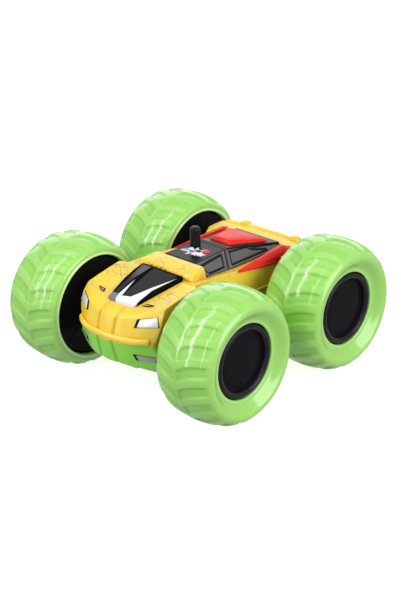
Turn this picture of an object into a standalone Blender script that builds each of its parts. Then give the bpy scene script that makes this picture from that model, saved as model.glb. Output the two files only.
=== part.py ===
"""Double-sided stunt car, about 150 mm long.

The car has two body halves that mirror each other about a seam just above the axles: a yellow
upper half and a green lower half. Between them a chassis frame carries the battery, the control
board and two motors. Each motor drives one rear wheel through a pinion, a two-step reduction gear
and an axle gear. The front wheels turn freely in bushes. The car's front points along -Y, its left
side along +X, and the origin is on the ground under its middle.
"""
import math

import bmesh
import bpy
from mathutils import Matrix, Vector

# ---------------------------------------------------------------- driving dimensions, millimetres
MM = 0.001
GAP = 0.3

HALF_TRACK = 52.0
HALF_BASE = 40.1
AXLE_Z = 35.0
AXLE_RADIUS = 1.5
AXLE_BORE = 1.6
WHEEL_STEPS = 32

SEAM_Z = 38.0
WALL = 1.5
CANOPY_WALL = 1.2

MODULE = 0.5
PINION_TEETH = 10
REDUCTION_TEETH = 28
SMALL_TEETH = 10
AXLE_TEETH = 30
REDUCTION_YZ = (37.5, 44.657)
GEAR_THICK = 2.1

MOTOR_RADIUS = 7.75
MOTOR_LENGTH = 14.0
BATTERY_RADIUS = 7.2

# ---------------------------------------------------------------- body surface, millimetres
# Each section runs from the centre line out over the deck (five points) and down the side to the
# seam (three points). Sections follow one another from the hood's front edge to the rear edge.
BODY_SECTIONS = [
    [(0, -60.5, 53.9), (5.3, -60.2, 53.8), (10, -60, 53.8), (17.5, -59.2, 54), (26.9, -54, 56),
     (27.2, -56.3, 51.5), (27.2, -58.6, 45.5), (25.4, -61.3, SEAM_Z)],
    [(0, -47, 56.2), (5.4, -47, 56.2), (10.5, -47, 56.2), (19, -46.5, 56.3), (27.1, -45, 57.7),
     (27.5, -45, 51.5), (27.1, -45, 45.5), (25.7, -45, SEAM_Z)],
    [(0, -30, 59.2), (5.4, -30, 59.2), (10.5, -30, 59.2), (19.5, -30, 59.2), (27.3, -31, 59.8),
     (27.6, -31, 52), (27, -31, 45.5), (25.5, -31, SEAM_Z)],
    [(0, -27, 59), (5.4, -27, 59), (10.5, -27, 59), (18.6, -27.5, 58.2), (23.4, -28.2, 59.2),
     (24, -28, 52.5), (24, -28, 45.5), (23.4, -28, SEAM_Z)],
    [(0, -14, 55.4), (5.4, -14, 55.4), (10.5, -14, 55.4), (17.8, -14, 56.6), (22.8, -14, 58.7),
     (23.5, -14, 52.5), (23.4, -14, 45.5), (23, -14, SEAM_Z)],
    [(0, 4, 53.8), (5.4, 4, 53.8), (10.5, 4, 53.8), (17.8, 4, 54.8), (23.2, 4, 56.3),
     (23.9, 4, 51.6), (23.9, 4, 45.5), (23.4, 4, SEAM_Z)],
    [(0, 15, 53.4), (5.4, 15, 53.4), (10.5, 15, 53.4), (17.8, 15, 54.2), (23.8, 15, 54.6),
     (24.4, 15, 51.2), (24.4, 15, 45.5), (23.9, 15, SEAM_Z)],
    [(0, 29, 53.4), (5.4, 29, 53.4), (10.5, 29, 53.4), (17.8, 29, 54.2), (24.8, 28, 53.4),
     (25.4, 28, 50.8), (25.3, 28, 45.5), (24.6, 28, SEAM_Z)],
    [(0, 38, 53.4), (5.4, 38, 53.4), (10.5, 38, 53.4), (17.8, 37.5, 54.2), (26.4, 34.8, 54.8),
     (26.9, 34.6, 51), (26.8, 34.6, 45.5), (26, 34.4, SEAM_Z)],
    [(0, 46, 53.8), (5.4, 46, 53.8), (10.5, 46, 53.8), (17.6, 45.5, 54.4), (31, 42.3, 55),
     (31.3, 42.3, 51), (31.2, 42.3, 45.5), (30, 42, SEAM_Z)],
    [(0, 51.5, 55), (5.4, 51.5, 55), (10.5, 51.5, 55), (17.6, 51, 55), (31.3, 48.5, 55),
     (31.5, 48.6, 51), (31.4, 48.8, 45.5), (30.2, 48.8, SEAM_Z)],
    [(0, 58.4, 55), (5.4, 58.4, 55), (10.5, 58.3, 55), (17.6, 57.8, 55), (31, 53.8, 55),
     (31.2, 54.4, 51), (31, 55, 45.5), (29.8, 55.2, SEAM_Z)],
]
# The nose below the hood's front edge and the tail below the rear edge, from the centre line out:
# each entry runs down to the seam. The outer corners belong to the first and last sections.
NOSE_COLUMNS = [
    [(0, -67.6, 50.7), (0, -69.4, 45.5), (0, -71, SEAM_Z)],
    [(5.5, -66.9, 50.7), (5.4, -68.7, 45.5), (4.8, -70.4, SEAM_Z)],
    [(10.5, -66, 50.9), (10.5, -67.8, 45.5), (9.7, -69.8, SEAM_Z)],
    [(17.3, -63, 51.3), (16.8, -65.7, 45.5), (15.5, -67.6, SEAM_Z)],
]
TAIL_COLUMNS = [
    [(0, 59.6, 51), (0, 60.6, 45.5), (0, 60.8, SEAM_Z)],
    [(5.4, 59.6, 51), (5.4, 60.5, 45.5), (5.2, 60.7, SEAM_Z)],
    [(10.5, 59.4, 51), (10.4, 60.3, 45.5), (10.2, 60.5, SEAM_Z)],
    [(17.6, 58.8, 51), (17.4, 59.6, 45.5), (17, 59.8, SEAM_Z)],
]
# The canopy: half sections from the centre line over the roof edge to the lower edge.
CANOPY_SECTIONS = [
    [(0, -13.6, 62.8), (10.6, -13.6, 62.8), (17.1, -13.6, 57.6)],
    [(0, 4, 62.8), (9.9, 4, 62.8), (17.2, 4, 55.5)],
    [(0, 12.5, 62.8), (9.4, 12.5, 62.8), (17.2, 12.5, 55.3)],
    [(0, 16, 62.1), (9.8, 16, 62), (17.2, 16, 55.2)],
    [(0, 30, 60.4), (12.2, 30, 60), (17.2, 30, 55)],
    [(0, 38, 58.8), (13.6, 38, 58.2), (17.1, 38, 55)],
    [(0, 47.2, 56.5), (15, 47.2, 56.4), (16.6, 47.2, 55.9)],
]
LIP_ROUTE = [(23.6, -62.6), (20, -65.6), (15.5, -67.9), (9.7, -70), (4.8, -70.6), (0, -71)]
LIP_Z = 39.4
LIP_RADIUS = 1.2
HOOD_SLOPE = math.atan(0.18)
HOOD_REFERENCE = (-57.0, 54.5)
INSERT_OUTLINE = [(8.8, -57), (14.9, -26.6), (-14.9, -26.6), (-8.8, -57)]
INSERT_THICK = 1.3
BAR_SECTIONS = [
    [(16.9, -25.9, 59.4), (18.7, -25.2, 59.1), (19.2, -24.6, 55.6)],
    [(16.5, -24.6, 61.8), (18.3, -24.4, 61), (19.3, -23.6, 55.4)],
    [(15.6, -14.4, 62.9), (17.3, -14.4, 62.2), (18.7, -14.4, 55.6)],
]
STRAKE_POINTS = [
    (22.9, 3.6, 56.2), (24, 3.8, 55.2), (19.1, 42.6, 57.4), (21.6, 43.4, 57.3),
    (25.3, 38, 51.9), (22.4, 48.6, 55.3), (24.6, 33, 52.4), (18.8, 41.6, 54.9), (21.8, 46, 54.3),
    (22.3, 14, 54.4), (24.4, 20, 53.6), (21.4, 24, 53.9), (22.6, 25, 56.2),
]
HEADLIGHT_CORNERS = [(16.6, -65.2, 47.3), (17.3, -63.3, 51.1), (25.2, -57.5, 52.2), (26.8, -58.8, 48)]
LOWER_LAMP_SHIFT = Vector((-0.1, -0.8, -3.1))
HEADLIGHT_PROUD = 0.25
HEADLIGHT_DEPTH = 1.1
HEADLIGHT_NORMAL = (0.42, -0.84, 0.34)
COVER_FRONT = (6.4, 16.2)
COVER_REAR = (13.3, 39.5)
COVER_Z = (62.5, 59.15)
COVER_THICK = 1.5
COVER_SIDE = 0.5
COVER_BEVEL = 1.3
ANTENNA_XY = (-6.3, 4.6)
ANTENNA_TOP = 73.0
KNOB_XY = (16.9, 57.2)
KNOB_FOOT_Z = 53.8
KNOB_TOP_Z = 56.8
KNOB_RADII = (2.7, 2.2)
SHELL_SCREWS = [(18.0, -50.0), (26.3, 49.5)]
SCREW_HEAD_Z = {-50.0: 20.6, 49.5: 21.4}
COVER_SCREW_Y = 39.5
POST_RADIUS = 2.6
SCREW_BORE = 1.3
AXLE_HOLE = 4.4
SWITCH_Y = 53.0
REAR_RIB_ROUTE = [(29, 54), (17.6, 57.2), (0, 57.8)]
REAR_RIB_Z = 55.2
REAR_RIB_RADIUS = 1.2
STRAKE_ROOM = 0.45
LAMP_ROOM = 0.35
UNDER_Z = 12.0
BATTERY_BAY = ((-8.2, -12.8, UNDER_Z), (8.2, 31, 30))
SWITCH_SLOT = (3.9, 1.6)
HEAD_BORE = 2.4
HEAD_DEPTH = 1.6
PIVOT_BORE = 1.0
MOTOR_BORE = 2.9
BUSH_SEAT = 3.8
COVER_BOSS_RADIUS = 3.4
COVER_BOSS_Z = (18.4, 21.2)
COVER_HEAD_Z = 19.9
COVER_HEAD_BORE = 2.5
ROOF_Z = 62.8
MOTOR_YZ = (47.4, 43.25)
FIRST_PLANE = (17.0, 17.0 + GEAR_THICK)
SECOND_PLANE = (19.5, 19.5 + GEAR_THICK)
GEARBOX_COVER_X = (22.1, 23.1)
GEARBOX_PEGS = [(50, 29.5), (52.5, 49.5)]

# ---------------------------------------------------------------- scene, collections, materials
for old in list(bpy.data.objects):
    bpy.data.objects.remove(old, do_unlink=True)

PARTS = bpy.data.collections.new("stunt_car")
CUTTERS = bpy.data.collections.new("cutters")
bpy.context.scene.collection.children.link(PARTS)
bpy.context.scene.collection.children.link(CUTTERS)


def material(name, colour, roughness, metallic=0.0):
    """Make a plain Principled material."""
    made = bpy.data.materials.new(name)
    made.use_nodes = True
    shader = made.node_tree.nodes["Principled BSDF"]
    shader.inputs["Base Color"].default_value = (*colour, 1.0)
    shader.inputs["Roughness"].default_value = roughness
    shader.inputs["Metallic"].default_value = metallic
    return made


YELLOW = material("yellow_plastic", (0.93, 0.55, 0.03), 0.35)
GREEN = material("green_plastic", (0.33, 0.66, 0.06), 0.35)
TYRE_GREEN = material("green_vinyl", (0.32, 0.72, 0.11), 0.5)
BLACK = material("black_gloss", (0.012, 0.012, 0.013), 0.2)
RED = material("red_plastic", (0.78, 0.06, 0.03), 0.3)
LENS = material("white_lens", (0.85, 0.85, 0.86), 0.25)
FRAME_GREY = material("frame_plastic", (0.06, 0.06, 0.065), 0.5)
STEEL = material("steel", (0.6, 0.6, 0.6), 0.3, 1.0)
MOTOR_CAN = material("motor_can", (0.55, 0.56, 0.58), 0.35, 1.0)
NYLON = material("white_nylon", (0.8, 0.8, 0.76), 0.45)
BRASS = material("brass", (0.7, 0.5, 0.2), 0.3, 1.0)
BOARD_GREEN = material("board_green", (0.02, 0.18, 0.06), 0.45)
CELL_BLUE = material("cell_wrap", (0.03, 0.12, 0.45), 0.35)


# ---------------------------------------------------------------- modelling helpers
def metres(point):
    """Turn a point in millimetres into a vector in metres."""
    return Vector(point) * MM


def place(name, mesh, surface, location=(0, 0, 0), rotation=None):
    """Add a mesh as a part, or as a helper when it has no material."""
    made = bpy.data.objects.new(name, mesh)
    made.location = metres(location)
    if rotation is not None:
        made.rotation_euler = rotation.to_euler()
    if surface is None:
        CUTTERS.objects.link(made)
        made.hide_render = True
        made.display_type = "WIRE"
    else:
        PARTS.objects.link(made)
        mesh.materials.append(surface)
    return made


def finish_mesh(name, bm, smooth=False):
    """Write a bmesh into a new mesh."""
    mesh = bpy.data.meshes.new(name)
    bm.to_mesh(mesh)
    bm.free()
    if smooth:
        mesh.shade_smooth()
        mesh.set_sharp_from_angle(angle=math.radians(35))
    return mesh


def add_box(bm, low, high):
    """Add a box between two corners."""
    size = metres(high) - metres(low)
    middle = (metres(high) + metres(low)) / 2
    turned_box = Matrix.Translation(middle) @ Matrix.Diagonal((*size, 1.0))
    bmesh.ops.create_cube(bm, size=1.0, matrix=turned_box)


def add_rod(bm, start, end, radius, segments=12, end_radius=None):
    """Add a rod or cone from one point to another."""
    first, last = metres(start), metres(end)
    along = last - first
    turn = Vector((0, 0, 1)).rotation_difference(along).to_matrix().to_4x4()
    tip = radius if end_radius is None else end_radius
    bmesh.ops.create_cone(
        bm, cap_ends=True, segments=segments, radius1=radius * MM, radius2=tip * MM,
        depth=along.length, matrix=Matrix.Translation((first + last) / 2) @ turn)


def hull(name, points, surface):
    """Add the convex solid round some points."""
    bm = bmesh.new()
    for point in points:
        bm.verts.new(metres(point))
    result = bmesh.ops.convex_hull(bm, input=bm.verts)
    spare = [item for item in result["geom_interior"] if isinstance(item, bmesh.types.BMVert)]
    bmesh.ops.delete(bm, geom=spare, context="VERTS")
    bmesh.ops.recalc_face_normals(bm, faces=bm.faces)
    return place(name, finish_mesh(name, bm), surface)


def boolean(target, other, operation):
    """Cut a part with a helper, or join a helper to it."""
    step = target.modifiers.new(operation.lower(), "BOOLEAN")
    step.operation = operation
    step.solver = "EXACT"
    step.object = other


def cutter(name, boxes=(), rods=()):
    """Make one helper from boxes and rods."""
    bm = bmesh.new()
    for low, high in boxes:
        add_box(bm, low, high)
    for start, end, radius in rods:
        add_rod(bm, start, end, radius)
    return place(name, finish_mesh(name, bm), None)


def assemble(name, surface, boxes=(), rods=(), segments=12):
    """Make a part from overlapping boxes and rods joined into one body."""
    solids = [("box", item) for item in boxes] + [("rod", item) for item in rods]
    made = None
    for number, (kind, item) in enumerate(solids):
        bm = bmesh.new()
        if kind == "box":
            add_box(bm, *item)
        else:
            add_rod(bm, *item, segments)
        mesh = finish_mesh(f"{name}_{number}", bm, kind == "rod")
        if made is None:
            made = place(name, mesh, surface)
        else:
            boolean(made, place(f"{name}_piece_{number}", mesh, None), "UNION")
    return made


def turned(name, profile, surface, location, side, steps, half_step=False):
    """Turn a profile of (radius, outward distance) pairs about an axle."""
    bm = bmesh.new()
    points = [bm.verts.new((radius * MM, 0, out * MM)) for radius, out in profile]
    for first, second in zip(points, points[1:]):
        bm.edges.new((first, second))
    closed = profile[0][0] > 0
    if closed:
        bm.edges.new((points[-1], points[0]))
    turn = Matrix.Rotation(math.radians(90 * side), 3, "Y")
    if half_step:
        turn = turn @ Matrix.Rotation(math.pi / steps, 3, "Z")
    made = place(name, finish_mesh(name, bm), surface, location, turn)
    screw = made.modifiers.new("turn", "SCREW")
    screw.axis = "Z"
    screw.steps = steps
    screw.render_steps = steps
    screw.use_merge_vertices = True
    screw.merge_threshold = 0.00001
    screw.use_smooth_shade = True
    return made


def curve_mesh(name, splines, extrude=0.0, bevel=0.0, flat=True, closed=True):
    """Build a curve from point lists in millimetres and return it as a welded mesh."""
    curve = bpy.data.curves.new(name, "CURVE")
    curve.dimensions = "2D" if flat else "3D"
    curve.fill_mode = "BOTH" if flat else "FULL"
    curve.extrude = extrude * MM / 2
    curve.bevel_depth = bevel * MM
    curve.bevel_resolution = 2
    curve.use_fill_caps = not flat
    for points in splines:
        spline = curve.splines.new("POLY")
        spline.points.add(len(points) - 1)
        spline.use_cyclic_u = closed
        for target, point in zip(spline.points, points):
            position = metres((*point, 0)) if len(point) == 2 else metres(point)
            target.co = (*position, 1.0)
    temporary = bpy.data.objects.new(name, curve)
    bpy.context.scene.collection.objects.link(temporary)
    bpy.context.view_layer.update()
    evaluated = temporary.evaluated_get(bpy.context.evaluated_depsgraph_get())
    mesh = bpy.data.meshes.new_from_object(evaluated)
    bpy.data.objects.remove(temporary, do_unlink=True)
    bm = bmesh.new()
    bm.from_mesh(mesh)
    bmesh.ops.remove_doubles(bm, verts=bm.verts, dist=0.00001)
    bmesh.ops.recalc_face_normals(bm, faces=bm.faces)
    return finish_mesh(name, bm)


# ---------------------------------------------------------------- body halves
def flip_z(point, lower):
    """Mirror a point about the seam for the lower half."""
    x, y, z = point
    return (x, y, 2 * SEAM_Z - z) if lower else point


def add_grid(bm, rows, lower):
    """Join rows of points with four-sided faces that face out of the body."""
    for row, following in zip(rows, rows[1:]):
        for step in range(len(row) - 1):
            face = [row[step], row[step + 1], following[step + 1], following[step]]
            bm.faces.new(reversed(face) if lower else face)


def body_surface(name, lower):
    """Build the left half of a body surface, open at the centre line and at the seam."""
    bm = bmesh.new()

    def vertex(point):
        return bm.verts.new(metres(flip_z(point, lower)))

    sections = [[vertex(point) for point in section] for section in BODY_SECTIONS]
    nose = [[vertex(point) for point in column] for column in NOSE_COLUMNS]
    tail = [[vertex(point) for point in column] for column in TAIL_COLUMNS]
    add_grid(bm, sections, lower)
    first, last = sections[0], sections[-1]
    nose_rows = [[first[column], *nose[column]] for column in range(4)] + [first[4:]]
    tail_rows = [[last[column], *tail[column]] for column in range(4)] + [last[4:]]
    add_grid(bm, nose_rows, lower)
    add_grid(bm, tail_rows, not lower)
    return finish_mesh(name, bm)


def mirrored_shell(name, mesh, surface, thickness):
    """Complete a left half across the centre line and give it a wall on its inner side."""
    made = place(name, mesh, surface)
    mirror = made.modifiers.new("mirror", "MIRROR")
    mirror.merge_threshold = 0.00001
    wall = made.modifiers.new("wall", "SOLIDIFY")
    wall.thickness = thickness * MM
    wall.offset = -1.0
    wall.use_even_offset = True
    return made


def canopy(name, lower):
    """Make a canopy: a thin cover with a flat roof and sloping sides."""
    bm = bmesh.new()
    rows = [[bm.verts.new(metres(flip_z(point, lower))) for point in section]
            for section in CANOPY_SECTIONS]
    add_grid(bm, rows, lower)
    return mirrored_shell(name, finish_mesh(name, bm), BLACK, CANOPY_WALL)


def side_points(points, side, lower):
    """Move points given for the upper left corner of the body to another corner."""
    return [flip_z((side * x, y, z), lower) for x, y, z in points]


def headlight_points(lower):
    """Give a left lens's eight corners, face first. The lower lamps sit closer to the seam."""
    outward = Vector(HEADLIGHT_NORMAL).normalized()
    shift = LOWER_LAMP_SHIFT if lower else Vector()
    corners = [Vector(corner) + shift for corner in HEADLIGHT_CORNERS]
    face = [tuple(corner + outward * HEADLIGHT_PROUD) for corner in corners]
    back = [tuple(corner - outward * HEADLIGHT_DEPTH) for corner in corners]
    return face + back


def inflated(name, points, amount):
    """Make a cutter that is a little larger than the convex solid round some points."""
    made = hull(name, points, None)
    bm = bmesh.new()
    bm.from_mesh(made.data)
    bm.normal_update()
    middle = sum((vert.co for vert in bm.verts), Vector()) / len(bm.verts)
    moves = [(vert, (vert.normal + (vert.co - middle).normalized()).normalized()) for vert in bm.verts]
    for vert, direction in moves:
        vert.co += direction * amount * MM
    bm.to_mesh(made.data)
    bm.free()
    return made


def engine_cover_points(lower):
    """Give the outline of a red cover plate with bevelled edges."""
    points = []
    for (half, y), z, inward in ((COVER_FRONT, COVER_Z[0], 1), (COVER_REAR, COVER_Z[1], -1)):
        for side in (1, -1):
            points.append((side * half, y, z))
            points.append((side * half, y, z + COVER_SIDE))
            points.append((side * (half - COVER_BEVEL), y + inward * COVER_BEVEL, z + COVER_THICK))
    return [flip_z(point, lower) for point in points]


def bar_points(lower):
    """Give the corners of the raised band behind the hood, both sides."""
    points = []
    for section in BAR_SECTIONS:
        points += side_points(section, 1, lower) + side_points(section, -1, lower)
    return points


def tube_helper(name, half_route, z, radius, lower):
    """Make a helper tube that follows a route on one side and back along the other."""
    route = [(x, y, z) for x, y in half_route]
    route += [(-x, y, z) for x, y in reversed(half_route) if x > 0]
    route = [flip_z(point, lower) for point in route]
    mesh = curve_mesh(name, [route], bevel=radius, flat=False, closed=False)
    return place(name, mesh, None)


def screw_posts(name, lower):
    """Make the four posts that the body screws go into."""
    bm = bmesh.new()
    for x, y in SHELL_SCREWS:
        deck_z = 2 * SEAM_Z - SCREW_HEAD_Z[y]
        for side in (1, -1):
            low = flip_z((side * x, y, SEAM_Z + 0.5), lower)
            high = flip_z((side * x, y, deck_z - 0.2), lower)
            add_rod(bm, low, high, POST_RADIUS)
    return place(name, finish_mesh(name, bm), None)


def body_half(name, surface, lower):
    """Make one body half with its bar, ribs, knobs, screw posts and axle notches."""
    tag = "lower" if lower else "upper"
    made = mirrored_shell(name, body_surface(name, lower), surface, WALL)
    boolean(made, hull(f"{tag}_bar", bar_points(lower), None), "UNION")
    boolean(made, screw_posts(f"{tag}_posts", lower), "UNION")
    boolean(made, tube_helper(f"{tag}_rear_rib", REAR_RIB_ROUTE, REAR_RIB_Z, REAR_RIB_RADIUS, lower), "UNION")
    knobs = bmesh.new()
    for side in (1, -1):
        low = flip_z((side * KNOB_XY[0], KNOB_XY[1], KNOB_FOOT_Z), lower)
        high = flip_z((side * KNOB_XY[0], KNOB_XY[1], KNOB_TOP_Z), lower)
        add_rod(knobs, low, high, KNOB_RADII[0], 16, KNOB_RADII[1])
    boolean(made, place(f"{tag}_knobs", finish_mesh(f"{tag}_knobs", knobs), None), "UNION")
    if not lower:
        boolean(made, tube_helper("lip", LIP_ROUTE, LIP_Z, LIP_RADIUS, lower), "UNION")
    for side in (1, -1):
        points = side_points(STRAKE_POINTS, side, lower)
        boolean(made, inflated(f"{tag}_strake_room_{side}", points, STRAKE_ROOM), "DIFFERENCE")
        points = side_points(headlight_points(lower), side, lower)
        boolean(made, inflated(f"{tag}_lamp_room_{side}", points, LAMP_ROOM), "DIFFERENCE")
    holes = []
    for y in (-HALF_BASE, HALF_BASE):
        holes.append(((-40, y, AXLE_Z), (40, y, AXLE_Z), AXLE_HOLE))
    for x, y in SHELL_SCREWS:
        for side in (1, -1):
            if lower:
                holes.append(((side * x, y, UNDER_Z), (side * x, y, 40), SCREW_BORE))
            else:
                holes.append(((side * x, y, 36), (side * x, y, 47.5), SCREW_BORE))
    if lower:
        holes.append(((0, COVER_SCREW_Y, 15), (0, COVER_SCREW_Y, 30), SCREW_BORE))
    boolean(made, cutter(f"{tag}_holes", (), holes), "DIFFERENCE")
    above = flip_z((60, 80, SEAM_Z + GAP / 2), lower)
    below = flip_z((-60, -80, SEAM_Z - 12), lower)
    seam_cut = (tuple(map(min, above, below)), tuple(map(max, above, below)))
    boolean(made, cutter(f"{tag}_seam_cut", (seam_cut,)), "DIFFERENCE")
    if lower:
        half_x, half_y = SWITCH_SLOT
        slot = ((-half_x, SWITCH_Y - half_y, UNDER_Z), (half_x, SWITCH_Y + half_y, 30))
        heads = []
        for x, y in SHELL_SCREWS:
            for side in (1, -1):
                top = SCREW_HEAD_Z[y] + HEAD_DEPTH
                heads.append(((side * x, y, UNDER_Z), (side * x, y, top), HEAD_BORE))
        boolean(made, cutter("lower_openings", (BATTERY_BAY, slot)), "DIFFERENCE")
        boolean(made, cutter("lower_counterbores", (), heads), "DIFFERENCE")
    return made


def body_trim(lower):
    """Make the canopy, hood insert, cover plate, strakes and headlights of one body half."""
    tag = "lower" if lower else "upper"
    roof = canopy("battery_cover" if lower else "upper_canopy", lower)
    if lower:
        low, high = COVER_BOSS_Z
        boss = ((0, COVER_SCREW_Y, low), (0, COVER_SCREW_Y, high), COVER_BOSS_RADIUS)
        boolean(roof, cutter("cover_boss", (), [boss]), "UNION")
        room = [((0, COVER_SCREW_Y, UNDER_Z), (0, COVER_SCREW_Y, COVER_HEAD_Z), COVER_HEAD_BORE),
                ((0, COVER_SCREW_Y, UNDER_Z), (0, COVER_SCREW_Y, 25), SCREW_BORE)]
        for number, rod in enumerate(room):
            boolean(roof, cutter(f"cover_screw_room_{number}", (), [rod]), "DIFFERENCE")
    insert(f"{tag}_hood_insert", lower)
    hull(f"{tag}_engine_cover", engine_cover_points(lower), RED)
    for word, side in (("left", 1), ("right", -1)):
        hull(f"{tag}_{word}_strake", side_points(STRAKE_POINTS, side, lower), RED)
        hull(f"{tag}_{word}_headlight", side_points(headlight_points(lower), side, lower), LENS)


def insert(name, lower):
    """Make the windscreen panel that lies on the hood."""
    mesh = curve_mesh(name, [[(x, y - HOOD_REFERENCE[0]) for x, y in INSERT_OUTLINE]], INSERT_THICK)
    middle_z = HOOD_REFERENCE[1] + GAP + INSERT_THICK / 2
    turn = Matrix.Rotation(-HOOD_SLOPE if lower else HOOD_SLOPE, 3, "X")
    place(name, mesh, BLACK, flip_z((0, HOOD_REFERENCE[0], middle_z), lower), turn)


# ---------------------------------------------------------------- chassis and drive
def gear_outline(teeth, phase):
    """Give the outline of a gear with a tooth centred on the phase angle."""
    pitch = math.tau / teeth
    pitch_radius = MODULE * teeth / 2
    root, tip = pitch_radius - 0.6, pitch_radius + 0.4
    outline = []
    for tooth in range(teeth):
        middle = phase + tooth * pitch
        for radius, share in ((root, -0.25), (tip, -0.1), (tip, 0.1), (root, 0.25)):
            angle = middle + share * pitch
            outline.append((radius * math.cos(angle), radius * math.sin(angle)))
    return outline


def circle(radius, points=12):
    """Give the outline of a round hole."""
    turns = [math.tau * step / points for step in range(points)]
    return [(radius * math.cos(angle), radius * math.sin(angle)) for angle in turns]


def gear(name, teeth, phase, yz, x_range, side, surface, bore=None):
    """Make a gear across the car. Its outline's first axis points back and its second up."""
    splines = [gear_outline(teeth, phase)]
    if bore:
        splines.append(circle(bore))
    mesh = curve_mesh(name, splines, x_range[1] - x_range[0])
    turn = Matrix(((0, 0, 1), (1, 0, 0), (0, 1, 0)))
    middle = side * (x_range[0] + x_range[1]) / 2
    return place(name, mesh, surface, (middle, *yz), turn)


def drive(word, side):
    """Make one side's motor, gears, rear axle and gearbox cover."""
    axle_yz = (HALF_BASE, AXLE_Z)
    first = math.atan2(REDUCTION_YZ[1] - axle_yz[1], REDUCTION_YZ[0] - axle_yz[0])
    second = math.atan2(MOTOR_YZ[1] - REDUCTION_YZ[1], MOTOR_YZ[0] - REDUCTION_YZ[0])
    gear(f"{word}_axle_gear", AXLE_TEETH, first, axle_yz, SECOND_PLANE, side, NYLON, 1.8)
    small_phase = first + math.pi + math.pi / SMALL_TEETH
    large = gear(f"{word}_reduction_gear", REDUCTION_TEETH, second, REDUCTION_YZ, FIRST_PLANE, side, NYLON)
    joined = (FIRST_PLANE[1] - 0.2, SECOND_PLANE[1])
    small = gear(f"{word}_small_gear", SMALL_TEETH, small_phase, REDUCTION_YZ, joined, side, None)
    boolean(large, small, "UNION")
    shaft = ((side * 15.3, *REDUCTION_YZ), (side * 23, *REDUCTION_YZ), 0.9)
    boolean(large, cutter(f"{word}_reduction_shaft", (), [shaft]), "UNION")
    pinion_phase = second + math.pi + math.pi / PINION_TEETH
    pinion = gear(f"{word}_pinion", PINION_TEETH, pinion_phase, MOTOR_YZ, FIRST_PLANE, side, BRASS)
    shaft = ((side * 16.1, *MOTOR_YZ), (side * 18, *MOTOR_YZ), 1.0)
    boolean(pinion, cutter(f"{word}_pinion_shaft", (), [shaft]), "UNION")
    can = [(0, 15.2), (2.5, 15.2), (2.5, MOTOR_LENGTH), (7, MOTOR_LENGTH), (MOTOR_RADIUS, 13.4),
           (MOTOR_RADIUS, 0.6), (7.2, 0), (0, 0)]
    turned(f"{word}_motor", can, MOTOR_CAN, (side * 0.6, *MOTOR_YZ), side, 20)
    low = (side * GEARBOX_COVER_X[0], 34.6, 27)
    high = (side * GEARBOX_COVER_X[1], 54.6, 52)
    corners = (tuple(map(min, low, high)), tuple(map(max, low, high)))
    cover = assemble(f"{word}_gearbox_cover", FRAME_GREY, [corners])
    bores = [((side * 20, *axle_yz), (side * 25, *axle_yz), AXLE_BORE),
             ((side * 20, *REDUCTION_YZ), (side * 25, *REDUCTION_YZ), PIVOT_BORE)]
    boolean(cover, cutter(f"{word}_cover_bores", (), bores), "DIFFERENCE")


def chassis():
    """Make the frame that carries the axles, the motors, the battery and the control board."""
    boxes = [((-16, -36, 33.5), (16, 33, 35.5)), ((-19, -45.8, 29), (19, -34.4, 41)),
             ((-16.2, 31, 27), (16.2, 34.5, 35.3))]
    rods = [((side * 10, end * 20, 35), (side * 10, end * 20, 42.2), 1.5)
            for side in (1, -1) for end in (1, -1)]
    for side in (1, -1):
        inner, outer = sorted((side * 15, side * 16.5))
        boxes.append(((inner, 31.2, 27.2), (outer, 55.4, 52)))
        for y, z in GEARBOX_PEGS:
            rods.append(((side * 15.8, y, z), (side * 21.8, y, z), 1.5))
    frame = assemble("chassis_frame", FRAME_GREY, boxes, rods, 12)
    front = (-HALF_BASE, AXLE_Z)
    rear = (HALF_BASE, AXLE_Z)
    bores = [((-20, *front), (20, *front), AXLE_BORE), ((-20, *rear), (20, *rear), AXLE_BORE),
             ((-20, *REDUCTION_YZ), (20, *REDUCTION_YZ), PIVOT_BORE),
             ((-20, *MOTOR_YZ), (20, *MOTOR_YZ), MOTOR_BORE)]
    boolean(frame, cutter("frame_bores", (), bores), "DIFFERENCE")
    seats = [((side * 10, *front), (side * 20, *front), BUSH_SEAT) for side in (1, -1)]
    boolean(frame, cutter("frame_bush_seats", (), seats), "DIFFERENCE")


def electrics():
    """Make the battery, the control board and the power switch."""
    cell = [(0, 21), (3, 21), (3, 20), (BATTERY_RADIUS, 20), (BATTERY_RADIUS, -21), (0, -21)]
    pack = turned("battery_pack", cell, CELL_BLUE, (0, 9, 25.7), 1, 20)
    pack.rotation_euler = Matrix.Rotation(math.radians(-90), 3, "X").to_euler()
    assemble("control_board", BOARD_GREEN, [
        ((-13, -24, 42.6), (13, 24, 44.2)), ((-6, -6, 44), (6, 6, 45.6)),
        ((-11, 12, 44), (-4, 20, 47)), ((4, -20, 44), (11, -12, 46.4))])
    assemble("power_switch", BLACK, [
        ((-5.2, SWITCH_Y - 2.6, 23), (0.8, SWITCH_Y + 2.6, 24.4)),
        ((-3.6, SWITCH_Y - 1.2, 20.2), (-0.6, SWITCH_Y + 1.2, 23.2))])


def screws():
    """Make the four body screws and the battery cover's screw, heads down."""
    for (x, y), end in zip(SHELL_SCREWS, ("front", "rear")):
        head = SCREW_HEAD_Z[y]
        profile = [(0, 46), (0.6, 46), (1, 45), (1, head + 1.3), (2, head + 1.3), (2, head + 0.4),
                   (1.5, head), (0, head)]
        for word, side in (("left", 1), ("right", -1)):
            vertical(f"{end}_{word}_body_screw", profile, STEEL, side * x, y)
    profile = [(0, 28), (1, 27.4), (1, 19.6), (2, 19.6), (2, 18.7), (1.5, 18.3), (0, 18.3)]
    vertical("battery_cover_screw", profile, STEEL, 0, COVER_SCREW_Y)


def vertical(name, profile, surface, x, y):
    """Turn a profile about an upright axis."""
    made = turned(name, profile, surface, (x, y, 0), 1, 12)
    made.rotation_euler = (0, 0, 0)


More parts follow.
